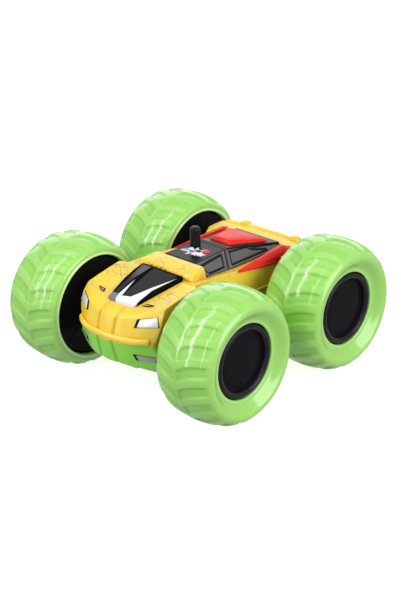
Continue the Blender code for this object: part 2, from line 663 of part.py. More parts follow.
# ---------------------------------------------------------------- wheels
TYRE = [(20.7, 13.9), (21.2, 15.3), (22.5, 15.6), (25, 17.8), (27.6, 19), (30.6, 17.3), (33.8, 13), (35, 8),
        (35, -8), (34, -12.8), (31.2, -16.2), (28.6, -16.2), (26.9, -14.3), (27.8, -12.8),
        (31.6, -11.5), (32.6, -7), (32.6, 7), (30.6, 13.2), (26.3, 15.8), (22.4, 13.9)]
DRUM = [(18.6, 12), (18.6, -11.6), (26.4, -11.6), (26.4, -13.6), (4.5, -13.6), (4.5, -18),
        (1.8, -18), (1.8, 8), (4.5, 8), (4.5, -11.6), (17.2, -11.6), (17.2, 12)]
HUB_CAP = [(0, 12.6), (16.8, 12.6), (17.4, 14.1), (18.9, 14.6), (20.2, 13.9), (20.2, 12.3),
           (16.9, 12.3), (16.9, 10.9), (0, 10.9)]
WHEEL_SCREW = [(0, 10.2), (2.2, 10.2), (3.2, 9.4), (3.2, 8.3), (1.5, 8.3), (1.5, 4.3), (0, 4.3)]
BUSH_REACH = 31.5


def wheel(end, word, side):
    """Make one wheel, with its axle and bush."""
    y = HALF_BASE if end == "rear" else -HALF_BASE
    name = f"{end}_{word}"
    centre = (side * HALF_TRACK, y, AXLE_Z)
    flat = math.cos(math.pi / WHEEL_STEPS)
    tread = [(radius / flat, out) for radius, out in TYRE]
    turned(f"{name}_tyre", tread, TYRE_GREEN, centre, side, WHEEL_STEPS, True)
    turned(f"{name}_wheel_drum", DRUM, BLACK, centre, side, 24)
    turned(f"{name}_hub_cap", HUB_CAP, BLACK, centre, side, 28)
    turned(f"{name}_wheel_screw", WHEEL_SCREW, STEEL, centre, side, 12)
    inner_end = 15.3 if end == "rear" else 5.5
    rod = [(0, 4), (1.2, 4), (AXLE_RADIUS, 3.7), (AXLE_RADIUS, inner_end - HALF_TRACK + 0.3),
           (1.2, inner_end - HALF_TRACK), (0, inner_end - HALF_TRACK)]
    turned(f"{name}_axle", rod, STEEL, centre, side, 16)
    near, radius = (GEARBOX_COVER_X[1] + GAP, 3.9) if end == "rear" else (10.3, 3.5)
    ring = [(radius, BUSH_REACH - HALF_TRACK), (radius, near - HALF_TRACK),
            (AXLE_BORE, near - HALF_TRACK), (AXLE_BORE, BUSH_REACH - HALF_TRACK)]
    turned(f"{name}_bush", ring, NYLON, centre, side, 16)


# ---------------------------------------------------------------- assembly
body_half("upper_shell", YELLOW, False)
body_half("lower_shell", GREEN, True)
body_trim(False)
body_trim(True)
antenna = [(0, ANTENNA_TOP), (1.6, ANTENNA_TOP - 0.2), (2.5, ANTENNA_TOP - 1.1), (2.9, 65),
           (2.9, ROOF_Z + GAP), (0, ROOF_Z + GAP)]
vertical("antenna_post", antenna, BLACK, *ANTENNA_XY)
chassis()
electrics()
screws()
for side_word, side_sign in (("left", 1), ("right", -1)):
    drive(side_word, side_sign)
    for wheel_end in ("front", "rear"):
        wheel(wheel_end, side_word, side_sign)
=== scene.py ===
"""Looks for the double-sided stunt car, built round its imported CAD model.

The shape functions work in millimetres in the car's own frame: the front along -Y, the left side
along +X, the ground at Z = 0. Meshes are written in metres. The lower half of the body mirrors the
upper half about the seam.
"""
import math

import bmesh
import bpy
import numpy as np
from mathutils import Matrix, Vector


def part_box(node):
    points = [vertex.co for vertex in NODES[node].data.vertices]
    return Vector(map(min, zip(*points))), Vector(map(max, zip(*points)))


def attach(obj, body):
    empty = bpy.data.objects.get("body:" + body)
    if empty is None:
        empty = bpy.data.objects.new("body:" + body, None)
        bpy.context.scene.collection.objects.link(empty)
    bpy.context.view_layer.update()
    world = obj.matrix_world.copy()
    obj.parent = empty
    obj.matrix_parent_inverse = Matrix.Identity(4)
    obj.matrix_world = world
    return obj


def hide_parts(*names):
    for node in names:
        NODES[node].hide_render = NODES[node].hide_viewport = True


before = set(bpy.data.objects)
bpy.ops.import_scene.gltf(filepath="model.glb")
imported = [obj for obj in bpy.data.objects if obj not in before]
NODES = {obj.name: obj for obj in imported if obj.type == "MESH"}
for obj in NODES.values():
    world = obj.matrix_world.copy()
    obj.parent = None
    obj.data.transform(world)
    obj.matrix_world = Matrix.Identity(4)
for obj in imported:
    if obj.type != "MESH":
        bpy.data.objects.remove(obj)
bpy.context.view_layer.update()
MM = 0.001


def box_mm(node):
    """Give a CAD node's box in millimetres."""
    low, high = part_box(node)
    return np.array(low) / MM, np.array(high) / MM


# ---- driving dimensions, from the frame
SEAM_Z = (box_mm("upper_shell")[0][2] + box_mm("lower_shell")[1][2]) / 2
AXLE_RADIUS = 1.5
AXLE_Z = box_mm("front_left_axle")[0][2] + AXLE_RADIUS
HALF_BASE = (box_mm("rear_left_axle")[0][1] + box_mm("rear_left_axle")[1][1]) / 2
TYRE_OUTWARD = 19.0
HALF_TRACK = box_mm("front_left_tyre")[1][0] - TYRE_OUTWARD
TYRE_RADIUS = 35.0
WALL = 1.4

# ---- body surface
# Each section runs from the centre line out over the deck (five points) and down the side to the
# seam (three points). Sections follow one another from the hood's front edge to the rear edge.
CREASE_X = 5.4
DECK_X = 10.5


def deck(y, z):
    """Give a section's three points nearest the centre line, where the deck is level."""
    return [(0, y, z), (CREASE_X, y, z), (DECK_X, y, z)]


BODY_SECTIONS = [
    [(0, -60.5, 53.9), (5.3, -60.2, 53.8), (10, -60, 53.8), (17.5, -59.2, 54), (26.9, -54, 56),
     (27.9, -56.9, 51.5), (27.9, -59.2, 45.5), (25.4, -61.3, SEAM_Z)],
    [*deck(-47, 56.2), (19, -46.5, 56.3), (27.1, -45, 57.7),
     (27.5, -45, 51.5), (27.1, -45, 45.5), (25.7, -45, SEAM_Z)],
    [*deck(-30, 59.2), (19.5, -30, 59.2), (27.3, -31, 59.8),
     (27.6, -31, 52), (27, -31, 45.5), (25.5, -31, SEAM_Z)],
    [*deck(-27, 59), (18.6, -27.5, 58.2), (23.4, -28.2, 59.2),
     (24, -28, 52.5), (24, -28, 45.5), (23.4, -28, SEAM_Z)],
    [*deck(-14, 55.4), (17.8, -14, 56.6), (22.8, -14, 58.7),
     (23.5, -14, 52.5), (23.4, -14, 45.5), (23, -14, SEAM_Z)],
    [*deck(4, 53.8), (17.8, 4, 54.8), (23.2, 4, 56.3),
     (23.9, 4, 51.6), (23.9, 4, 45.5), (23.4, 4, SEAM_Z)],
    [*deck(15, 53.4), (17.8, 15, 54.2), (23.8, 15, 54.6),
     (24.4, 15, 51.2), (24.4, 15, 45.5), (23.9, 15, SEAM_Z)],
    [*deck(29, 53.4), (17.8, 29, 54.2), (24.8, 28, 53.4),
     (25.4, 28, 50.8), (25.3, 28, 45.5), (24.6, 28, SEAM_Z)],
    [*deck(38, 53.4), (17.8, 37.5, 54.2), (26.4, 34.8, 54.8),
     (26.9, 34.6, 51), (26.8, 34.6, 45.5), (26, 34.4, SEAM_Z)],
    [*deck(46, 53.8), (17.6, 45.5, 54.4), (31, 42.3, 55),
     (31.3, 42.3, 51), (31.2, 42.3, 45.5), (30, 42, SEAM_Z)],
    [*deck(51.5, 55), (17.6, 51, 55), (31.3, 48.5, 55),
     (31.5, 48.6, 51), (31.4, 48.8, 45.5), (30.2, 48.8, SEAM_Z)],
    [(0, 58.4, 55), (5.4, 58.4, 55), (10.5, 58.3, 55), (17.6, 57.8, 55), (31, 53.8, 55),
     (31.2, 54.4, 51), (31, 55, 45.5), (29.8, 55.2, SEAM_Z)],
]
NOSE_COLUMNS = [
    [(0, -67.6, 50.7), (0, -69.4, 45.5), (0, -71, SEAM_Z)],
    [(5.5, -66.9, 50.7), (5.4, -68.7, 45.5), (4.8, -70.4, SEAM_Z)],
    [(10.5, -66, 50.9), (10.5, -67.8, 45.5), (9.7, -69.8, SEAM_Z)],
    [(17.3, -63, 51.3), (16.8, -65.7, 45.5), (15.5, -67.6, SEAM_Z)],
]
TAIL_COLUMNS = [
    [(0, 59.6, 51), (0, 60.6, 45.5), (0, 60.8, SEAM_Z)],
    [(5.4, 59.6, 51), (5.4, 60.5, 45.5), (5.2, 60.7, SEAM_Z)],
    [(10.5, 59.4, 51), (10.4, 60.3, 45.5), (10.2, 60.5, SEAM_Z)],
    [(17.6, 58.8, 51), (17.4, 59.6, 45.5), (17, 59.8, SEAM_Z)],
]
# The nose creases: half width, depth, and how the depth splits into backward and downward.
CREASE_HALF = 1.1
CREASE_SPACING = 5
CREASE_DEPTH = 1.25
CREASE_BACK = 0.85
CREASE_DOWN = 0.5
# An edge that bends less than SOFT_BEND degrees stays smooth. Above it, its crease grows with the
# bend, to full at BEND_SPAN more, but never past SHARPEST.
SOFT_BEND = 6
BEND_SPAN = 30
SHARPEST = 0.93
LIP_ROUTE = [(24.3, -62.2), (20, -65.6), (15.5, -67.9), (9.7, -69.6), (4.8, -70.1), (0, -70.4)]
REAR_RIB_ROUTE = [(29, 54), (17.6, 57.2), (0, 57.8)]
SIDE_RIB_ROUTE = [(23.9, -27), (23.6, -14), (24, 4), (25.2, 28), (26.7, 34.6), (30.9, 42)]
KNOB_XY = (17.3, 58)
KNOB_FOOT_Z = 53.8
KNOB_OUTLINE = [(3.3, 0), (3.3, 1), (2.8, 2.4), (1.6, 2.9), (0, 3)]
REAR_RIB_Z = 54.8
REAR_RIB_RADIUS = 1.2
SIDE_RIB_Z = 41.2
SIDE_RIB_RADIUS = 0.55
LIP_Z = SEAM_Z + 2.3
LIP_RADIUS = 1.2
LIP_TALL = 1.45
# Holes: the axles' along X, the screws' from under the body up past each head, and the switch's.
AXLE_HOLE_RADIUS = 4.6
AXLE_HOLE_X = (19, 40)
SCREW_HOLE_RADIUS = 2.5
UNDER_Z = 12
HEAD_DEPTH = 1.7
COVER_SCREW_TOP_Z = 22
SWITCH_HOLE = (7.8, 3.2, 18)
SWITCH_HOLE_Z = 21
SHELL_SCREWS = [(18.0, -50.0, 20.6), (26.3, 49.5, 21.4)]
COVER_SCREW_Y = 39.5
SWITCH_Y = 53.0

# ---- trim
CANOPY_STEP = 0.3
CANOPY_WALL = 1.1
EASED_ROWS = 7
ROOF_COLUMNS = 32
SIDE_COLUMNS = 36
CANOPY_BLACK = (0.006, 0.006, 0.007)
FRAME_AND_REFLECTION_GREY = (0.13, 0.13, 0.135)
CANOPY_Y = [-13.6, 4, 12.5, 16, 30, 38, 47.2]
CANOPY_EDGE_X = [10.6, 9.9, 9.4, 9.8, 12.2, 13.6, 15]
CANOPY_EDGE_Z = [62.8, 62.8, 62.8, 62, 60, 58.2, 56.4]
CANOPY_TOP_Z = [62.8, 62.8, 62.8, 62.1, 60.4, 58.8, 56.5]
CANOPY_LOW_X = [17.1, 17.2, 17.2, 17.2, 17.2, 17.1, 16.6]
CANOPY_LOW_Z = [57.6, 55.5, 55.3, 55.2, 55, 55, 55.9]
# Side windows and grooves, in (Y, Z) on the canopy's sloping side.
FRONT_WINDOW = [(-12.2, 61.2), (5.6, 61.6), (2.4, 57), (-9.8, 57.6)]
REAR_WINDOW = [(11.5, 61.2), (24, 60.2), (27.2, 58.4), (35.9, 56.3), (36.4, 55.8), (8.3, 56.4)]
PILLAR_GROOVE = [(9.6, 62.7), (4.1, 55.4)]
TAIL_GROOVE = [(11.2, 62.5), (24.6, 60.7), (28.6, 59), (47, 56)]
HOOD_TILT = 0.18
HOOD_REFERENCE = (-57.0, 54.5)
INSERT_X = (-14.2, 16.01)
INSERT_Y = (-60.4, -26.6)
INSERT_STEP = 0.2
INSERT_ROUND = 0.9
INSERT_SKIRT = 0.9
INSERT_SNAP = 0.21
WHITE_STRIPE = (0.86, 0.87, 0.9)
INSERT_LIFT = 0.3
INSERT_THICK = 1.3
INSERT_OUTLINE = [(-7.2, -59.3), (-1.4, -59.9), (9.9, -59.4), (10.9, -58.4), (15.4, -30), (14.4, -27.2),
                  (-13.2, -27.2), (-13.7, -28.2), (-13.3, -35), (-11.9, -43.5), (-7.6, -57.9)]
INSERT_PANEL = [(-0.6, -55.9), (4.1, -54.4), (11.9, -29.6), (11.5, -28.7), (-4.7, -28.7)]
INSERT_FAR_PANEL = [(-6.9, -55.2), (-4.5, -55.5), (-7, -42), (-6.3, -28.7), (-12.2, -28.7)]
# White paint: the front band and near stripe, then the spear along the edge of the main and far panels, a
# painted highlight.
INSERT_WHITES_AND_HIGHLIGHT = [
    [(-3.5, -54.7), (-1.4, -60.2), (10, -59.7), (11, -58.4), (9.9, -45.1), (13.3, -30.8), (7.9, -43.5),
     (4.1, -54.4), (-0.6, -55.9)],
    [(-3.4, -55.5), (-0.8, -55.7), (-5.4, -41.7)],
]
# The far silver stripe, painted grey where the near one is white: a painted darker reflection.
INSERT_DIM_REFLECTION_STRIPE = [(-7.9, -59.8), (-1.4, -60.2), (-3.5, -54.9), (-4.5, -55.7), (-7.3, -55.4)]
BAR_SECTIONS = [
    [(16.9, -25.9, 59.4), (18.7, -25.2, 59.1), (19.2, -24.6, 55.6)],
    [(16.5, -24.6, 61.8), (18.3, -24.4, 61), (19.3, -23.6, 55.4)],
    [(15.6, -14.4, 62.9), (17.3, -14.4, 62.2), (18.7, -14.4, 55.6)],
]
BUMP_COUNT = 4
BUMP_PITCH = 3.2
BUMP_FIRST = (-9.3, -25.1, 60.7)
BUMP_SIZE = (1.3, 1.6, 1.5)
STRAKE_POINTS = [
    (22.9, 3.6, 56.2), (24, 3.8, 55.2), (19.1, 42.6, 57.4), (21.6, 43.4, 57.3), (28.6, 38, 53.4),
    (27.2, 34, 52.7), (22.4, 48.6, 55.3), (25.7, 27, 52.2), (18.8, 41.6, 54.9), (21.8, 46, 54.3),
    (22.3, 14, 54.4), (24.4, 20, 53.6), (21.4, 24, 53.9), (22.6, 25, 56.2),
]
HEADLIGHT_CORNERS = [(16.6, -65.2, 47.3), (17.3, -63.3, 51.1), (25.4, -57.7, 52.4), (27, -59, 48.1)]
LOWER_LAMP_CORNERS = [(16.5, -66.3, 43.4), (17.2, -64.9, 46.6), (25.1, -60, 47.4), (26.5, -60.3, 44.3)]
HEADLIGHT_NORMAL = Vector((0.42, -0.84, 0.34)).normalized()
COVER_FRONT = (6.4, 16.2, 62.5)
COVER_REAR = (13.3, 39.5, 58.8)
# The cover plate's heights at its edge, its bevel (inwards, up) and its crown (share of the width,
# inwards, up).
COVER_EDGE_Z = (-0.6, 0.35)
COVER_BEVEL = (1.3, 1.4)
COVER_CROWN = (0.4, 1.5, 1.9)
RIM_WIDTH = 0.45
RIM_INNER = 1.1
SURROUND = [(19.2, -53.6), (14.6, -53.7), (13.4, -56.2), (16.4, -55.5)]
SLOT_FLOOR = [(17.2, -54.4), (15, -54.5), (14.1, -55.8), (16.2, -55.2)]
ANTENNA_XY = (-6.3, 4.6)
ANTENNA_FOOT_Z = 62.6
ANTENNA_OUTLINE = [(2.9, 0), (2.65, 9.3), (1.9, 10.2), (0, 10.4)]
# Two small pips on the antenna's top, lighter grey than the post: painted glints.
ANTENNA_GLINT_PIPS = [(-0.95, -0.9, 72.25), (0.95, -0.9, 72.25)]

# ---- wheels: (radius, outward) pairs
TYRE_OUTLINE = [
    (19.6, 13), (19.6, 14.2), (19.9, 14.75), (20.5, 14.9), (21.4, 14.8), (22.8, 15.6), (24.9, 17.4),
    (27, 18.75), (29, 18.6), (31, 16.9), (32.7, 14.2), (33.9, 10.7), (34.6, 6.7), (34.92, 3), (35, 0),
    (34.92, -3), (34.6, -6.5), (33.9, -10.2), (32.8, -13), (31.2, -15.2), (29.8, -16.1), (28.9, -15.9),
    (28.3, -16.6), (27.6, -16.6), (27.1, -15.8), (26.9, -13.6),
]
LUG_COUNT = 20
LUG_STEPS = 20
LUG_PHASE = 6.0
TYRE_STEP = 0.8
TYRE_WALL = 1.6
TREAD_OUTER = 19.5
TREAD_INNER = 17.0
CROWN_RIDGE = 0.55
POCKET_CORNER = 1.2
POCKET_SHARE = 11 / 18
POCKET_DEPTH = 1.1
POCKET_SWEEP = 12.0
# Bead lips painted paler, a painted highlight: where, how far the paint reaches, and how much. It is
# full out to LIP_CORE - 1 times the reach, and gone at LIP_CORE times the reach.
BEAD_LIP_HIGHLIGHTS = [((28.0, -16.6), 1.0, 0.75), ((20.2, 14.9), 0.5, 0.3)]
LIP_CORE = 1.4
POCKET_ROUND = 9.0
INNER_SHIFT = -1.6
POCKET_EDGE = 0.9
POCKET_FADE = 4.5
CAP_OUTLINE = [(0, 12.3), (13.3, 12.3), (13.7, 12.1), (16.4, 12.1), (16.4, 10.9), (0, 10.9)]
RING_OUTLINE = [(15.8, 12), (16, 13.7), (16.5, 14.5), (17.5, 14.9), (18.5, 14.7), (19.1, 13.9),
                (19.2, 12.4), (18.8, 11.9), (16.2, 11.9), (15.8, 12)]
DRUM_OUTLINE = [(18.6, 12), (18.6, -11.6), (25.9, -11.6), (26.4, -12.1), (26.4, -13.2), (25.9, -13.6),
                (24.6, -13.6), (24.1, -13.1), (9.6, -13.1), (8.2, -14.3), (4.5, -14.3), (4.5, -18),
                (1.8, -18), (1.8, 8), (4.5, 8), (4.5, -11.6), (17.2, -11.6), (17.2, 12), (18.6, 12)]
# The ribs on the inner disc, with their middle as (outward, from the axle), and the pips on the hub.
RIB_COUNT = 9
RIB_PHASE = 0.2
RIB_SIZE = (0.5, 0.7, 15)
RIB_MIDDLE = (-13.25, 16.5)
PIP_COUNT = 5
PIP_PHASE = -15
PIP_CIRCLE = 11.8
PIP_OUTWARD = 12.4


def reach_along(points):
    """Give how far along a line each of its points lies."""
    return np.concatenate([[0], np.cumsum(np.linalg.norm(np.diff(points, axis=0), axis=1))])


def sub_steps(points, spacing):
    """Run a smooth curve through points and return points an even distance apart."""
    control = np.array([points[0], *points, points[-1]], float)
    curve = []
    for before, start, end, after in zip(control, control[1:], control[2:], control[3:]):
        for share in np.linspace(0, 1, 12, endpoint=False):
            curve.append(0.5 * (2 * start + (end - before) * share
                                + (2 * before - 5 * start + 4 * end - after) * share ** 2
                                + (3 * start - before - 3 * end + after) * share ** 3))
    curve = np.array([*curve, control[-1]])
    reach = reach_along(curve)
    wanted = np.linspace(0, reach[-1], int(reach[-1] / spacing) + 1)
    return np.stack([np.interp(wanted, reach, curve[:, axis]) for axis in range(curve.shape[1])], axis=1)


def smooth(value):
    """Ease a share between 0 and 1."""
    value = np.clip(value, 0, 1)
    return value * value * (3 - 2 * value)


def edge_distance(points, start, edge):
    """Distance from points to the nearest of some straight edges."""
    rel = points[:, None] - start
    share = np.clip((rel * edge).sum(-1) / (edge * edge).sum(-1), 0, 1)
    return np.linalg.norm(rel - share[..., None] * edge, axis=-1).min(axis=1)


def signed_distance(points, outline):
    """Distance from points to a closed outline, negative inside."""
    start = np.array(outline, float)
    edge = np.roll(start, -1, axis=0) - start
    gap = edge_distance(points, start, edge)
    crosses = (start[:, 1] > points[:, None, 1]) != (start[:, 1] + edge[:, 1] > points[:, None, 1])
    rise = np.where(edge[:, 1] == 0, 1e-9, edge[:, 1])
    meets = start[:, 0] + (points[:, None, 1] - start[:, 1]) * edge[:, 0] / rise
    inside = (crosses & (points[:, None, 0] < meets)).sum(axis=1) % 2 == 1
    return np.where(inside, -gap, gap)


def line_distance(points, route):
    """Distance from points to an open line of points."""
    route = np.array(route, float)
    return edge_distance(points, route[:-1], np.diff(route, axis=0))


def flip(point, lower):
    """Mirror a point about the seam for the lower half."""
    x, y, z = point
    return (x, y, 2 * SEAM_Z - z) if lower else (x, y, z)


# ---- materials
COAT_ROUGHNESS = 0.12
GRAIN_HEIGHT = 0.0002
PAINT_SHARE = 0.9
POCKET_SHADE_SHARE = 0.6
# The printed cracks: how far from the seam they start, how they fade in, which parts of the noise
# they fill, and how much they wander (in metres).
PRINT_FROM = 16.5
PRINT_FADE = 1.5
CRACK_BAND = (0.02, 0.065)
PATCH_BAND = (0.44, 0.56)
CRACK_BEND = 0.004


def shader_of(made):
    """Give a material's main shader."""
    return made.node_tree.nodes["Principled BSDF"]


def set_inputs(made, node, inputs):
    """Set a node's inputs to values, or link them to sockets."""
    for key, value in dict(inputs).items():
        if isinstance(value, bpy.types.NodeSocket):
            made.node_tree.links.new(value, node.inputs[key])
        else:
            node.inputs[key].default_value = value


def link_nodes(made, name, inputs=(), **settings):
    """Add a node with settings and input values or links."""
    node = made.node_tree.nodes.new("ShaderNode" + name)
    for key, value in settings.items():
        setattr(node, key, value)
    set_inputs(made, node, inputs)
    return node


def mixed(made, factor, first, second):
    """Mix two colours by a factor. Each may be a value or a socket."""
    ends = [(*tone, 1.0) if isinstance(tone, tuple) else tone for tone in (first, second)]
    return link_nodes(made, "Mix", {0: factor, 6: ends[0], 7: ends[1]}, data_type="RGBA").outputs[2]


def ranged(made, value, low, high, to_low, to_high):
    """Map a value from one range to another, clamped."""
    return link_nodes(made, "MapRange", {"Value": value, "From Min": low, "From Max": high,
                                         "To Min": to_low, "To Max": to_high}).outputs[0]


def maths(made, operation, first, second):
    """Combine two values."""
    return link_nodes(made, "Math", {0: first, 1: second}, operation=operation).outputs[0]


def moulded(name, colour, deep, roughness, grain=900, bump=0.04, patch=60, metallic=0.0,
             coat=0.0, specular=0.5, paint=None, subsurface=0.0, spread=0.06):
    """Make a moulded finish: patchy tone, fine grain in the bump, uneven gloss."""
    made = bpy.data.materials.new(name)
    made.use_nodes = True
    place = link_nodes(made, "TexCoord").outputs["Object"]
    broad = link_nodes(made, "TexNoise", {"Vector": place, "Scale": patch, "Detail": 4.0}).outputs[0]
    fine = link_nodes(made, "TexNoise", {"Vector": place, "Scale": grain, "Detail": 3.0}).outputs[0]
    tone = mixed(made, ranged(made, broad, 0.35, 0.7, 0.0, 1.0), colour, deep)
    if paint:
        painted = link_nodes(made, "Attribute", attribute_name=paint).outputs["Color"]
        tone = mixed(made, PAINT_SHARE, tone, painted)
    replace_tone(made, tone)
    uneven = ranged(made, broad, 0.3, 0.7, roughness - spread, roughness + spread)
    relief = link_nodes(made, "Bump", {"Strength": bump, "Distance": GRAIN_HEIGHT, "Height": fine}).outputs[0]
    set_inputs(made, shader_of(made), {
        "Roughness": uneven, "Normal": relief, "Metallic": metallic, "Coat Weight": coat,
        "Coat Roughness": COAT_ROUGHNESS, "Specular IOR Level": specular, "Subsurface Weight": subsurface})
    if subsurface:
        set_inputs(made, shader_of(made), {
            "Subsurface Radius": (0.002, 0.003, 0.001), "Subsurface Scale": 1.0})
    return made


def replace_tone(made, tone):
    """Set the colour socket that a finish uses."""
    made.node_tree.links.new(tone, shader_of(made).inputs["Base Color"])


def tone_of(made):
    """Give the colour socket that a finish uses now."""
    return shader_of(made).inputs["Base Color"].links[0].from_socket


def paint_crease_shade(made, colour, reach, most=0.75):
    """Paint shade into hollows: turn them towards a deeper colour, as light that bounces in them does."""
    hollow = link_nodes(made, "AmbientOcclusion", {"Distance": reach}, samples=6).outputs["AO"]
    share = ranged(made, hollow, 0.35, 0.95, most, 0.0)
    replace_tone(made, mixed(made, share, tone_of(made), colour))


def paint_pocket_shade_and_lip_highlight(made, colour, pale):
    """Paint shade into the tread's pockets (painted red), a highlight onto the thin bead lips (painted blue).
    """
    painted = link_nodes(made, "Attribute", attribute_name="paint").outputs["Color"]
    shares = link_nodes(made, "SeparateColor", {0: painted})
    part = maths(made, "MULTIPLY", shares.outputs[0], POCKET_SHADE_SHARE)
    replace_tone(made, mixed(made, part, tone_of(made), colour))
    replace_tone(made, mixed(made, shares.outputs[2], tone_of(made), pale))


def share_skin(made):
    """Let the clear skin over the tread follow the tyre's own curve, so that streaks run across it."""
    skin = link_nodes(made, "Attribute", attribute_name="skin").outputs["Vector"]
    turned = link_nodes(made, "VectorTransform", {0: skin}, vector_type="NORMAL", convert_from="OBJECT",
                        convert_to="WORLD").outputs[0]
    made.node_tree.links.new(turned, shader_of(made).inputs["Coat Normal"])


def add_crack_print(made, ink, strength):
    """Print thin broken cell lines on the surfaces that face away from the seam."""
    place = link_nodes(made, "TexCoord").outputs["Object"]
    warp = link_nodes(made, "TexNoise", {"Vector": place, "Scale": 120.0, "Detail": 2.0}).outputs[1]
    shift = link_nodes(made, "VectorMath", {0: warp, 1: [CRACK_BEND] * 3}, operation="MULTIPLY").outputs[0]
    bent = link_nodes(made, "VectorMath", {0: place, 1: shift}, operation="ADD").outputs[0]
    cells = link_nodes(made, "TexVoronoi", {"Vector": bent, "Scale": 230.0}, feature="DISTANCE_TO_EDGE")
    line = ranged(made, cells.outputs["Distance"], *CRACK_BAND, 1.0, 0.0)
    patches = link_nodes(made, "TexNoise", {"Vector": place, "Scale": 95.0, "Detail": 1.0}).outputs[0]
    shown = ranged(made, patches, *PATCH_BAND, 0.0, 1.0)
    height = link_nodes(made, "SeparateXYZ", {0: place}).outputs[2]
    off_seam = maths(made, "ABSOLUTE", maths(made, "SUBTRACT", height, SEAM_Z * MM), 0.0)
    high = ranged(made, off_seam, PRINT_FROM * MM, (PRINT_FROM + PRINT_FADE) * MM, 0.0, 1.0)
    share = maths(made, "MULTIPLY", maths(made, "MULTIPLY", line, shown), high)
    replace_tone(made, mixed(made, maths(made, "MULTIPLY", share, strength), tone_of(made), ink))


YELLOW = moulded("yellow_plastic", (0.86, 0.615, 0.05), (0.83, 0.565, 0.035), 0.36, coat=0.3)
# Painted shade: the yellow half's creases and hollows turn a deeper orange.
paint_crease_shade(YELLOW, (0.84, 0.38, 0.006), 0.005, 0.6)
add_crack_print(YELLOW, (0.27, 0.22, 0.21), 0.72)
PLAIN_YELLOW = moulded("yellow_plastic_plain", (0.88, 0.64, 0.06), (0.85, 0.59, 0.04), 0.34, coat=0.3)
# The knobs' deeper, more orange yellow is painted shade on their sides.
SHADED_KNOB_YELLOW = moulded("yellow_plastic_knob_shaded", (0.93, 0.52, 0.01), (0.90, 0.46, 0.008), 0.34, coat=0.3)
GREEN = moulded("green_plastic", (0.275, 0.72, 0.07), (0.245, 0.69, 0.05), 0.36, coat=0.15)
# Painted shade: the green half's creases and hollows turn a deeper green.
paint_crease_shade(GREEN, (0.17, 0.48, 0.015), 0.006)
add_crack_print(GREEN, (0.10, 0.20, 0.12), 0.5)
VINYL = moulded("green_vinyl", (0.325, 0.66, 0.125), (0.295, 0.63, 0.105), 0.40, grain=500, bump=0.03,
    subsurface=0.1, coat=0.9)
# Painted shade deepens the tread's pockets, and a painted highlight pales the bead lips.
paint_pocket_shade_and_lip_highlight(VINYL, (0.25, 0.61, 0.07), (0.66, 0.95, 0.5))
# Painted shade: the tyre's hollows turn a deeper green.
paint_crease_shade(VINYL, (0.13, 0.42, 0.03), 0.0025)
share_skin(VINYL)
BLACK = moulded("black_gloss", (0.010, 0.009, 0.011), (0.014, 0.012, 0.015), 0.16, specular=0.16)
HUB_BLACK = moulded("black_hub", (0.0055, 0.005, 0.006), (0.008, 0.007, 0.009), 0.2, specular=0.05,
    spread=0.03)
RING_BLACK = moulded("black_ring", (0.012, 0.009, 0.016), (0.009, 0.007, 0.012), 0.16, specular=0.25,
    spread=0.03)
CANOPY_PAINT = moulded("canopy_paint", (0.02, 0.02, 0.022), (0.03, 0.03, 0.032), 0.26, paint="paint",
    specular=0.14)
INSERT_PAINT = moulded("insert_paint", (0.02, 0.02, 0.022), (0.03, 0.03, 0.032), 0.14, paint="paint",
    specular=0.06, spread=0.03)
shader_of(INSERT_PAINT).inputs["IOR"].default_value = 1.12
RED = moulded("red_plastic", (0.76, 0.024, 0.014), (0.69, 0.018, 0.01), 0.36, specular=0.2)
LENS = moulded("white_lens", (0.93, 0.93, 0.95), (0.86, 0.86, 0.9), 0.3, metallic=0.45, spread=0.03)
# The silver lens again, painted grey as a painted darker reflection: the lower lamps and the marker floors.
DIM_REFLECTION_LENS = moulded("lens_dim_reflection", (0.42, 0.42, 0.43), (0.30, 0.30, 0.32), 0.25, coat=0.4)
FRAME_GREY = moulded("frame_plastic", (0.055, 0.055, 0.06), (0.04, 0.04, 0.045), 0.5, grain=600)
STEEL = moulded("steel", (0.62, 0.62, 0.63), (0.5, 0.5, 0.52), 0.3, metallic=1.0, patch=300)
MOTOR_CAN = moulded("motor_can", (0.56, 0.57, 0.6), (0.46, 0.47, 0.5), 0.34, metallic=1.0, patch=220)
NYLON = moulded("white_nylon", (0.8, 0.8, 0.76), (0.7, 0.7, 0.66), 0.45)
BRASS = moulded("brass", (0.72, 0.5, 0.2), (0.6, 0.4, 0.14), 0.3, metallic=1.0, patch=300)
BOARD = moulded("board_green", (0.02, 0.18, 0.06), (0.01, 0.12, 0.04), 0.42, patch=500)
CELL = moulded("cell_wrap", (0.03, 0.12, 0.45), (0.02, 0.09, 0.36), 0.35)
SWITCH_BLACK = moulded("switch_plastic", (0.02, 0.02, 0.02), (0.03, 0.03, 0.03), 0.45, grain=1500)


SIDES = (("left", 1), ("right", -1))
# Each half's tag, finish and slot.
HALVES = {False: ("upper", YELLOW, "yellow_plastic"), True: ("lower", GREEN, "green_plastic")}


# ---- mesh helpers
def new_object(name, data):
    """Put a mesh, light or camera in the scene."""
    made = bpy.data.objects.new(name, data)
    bpy.context.scene.collection.objects.link(made)
    return made


def add_piece(name, mesh, surface, body, replaced=()):
    """Put a mesh in the scene as a piece that rides on a body."""
    made = new_object(name, mesh)
    mesh.materials.append(surface)
    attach(made, body)
    if replaced:
        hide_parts(*replaced)
    return made


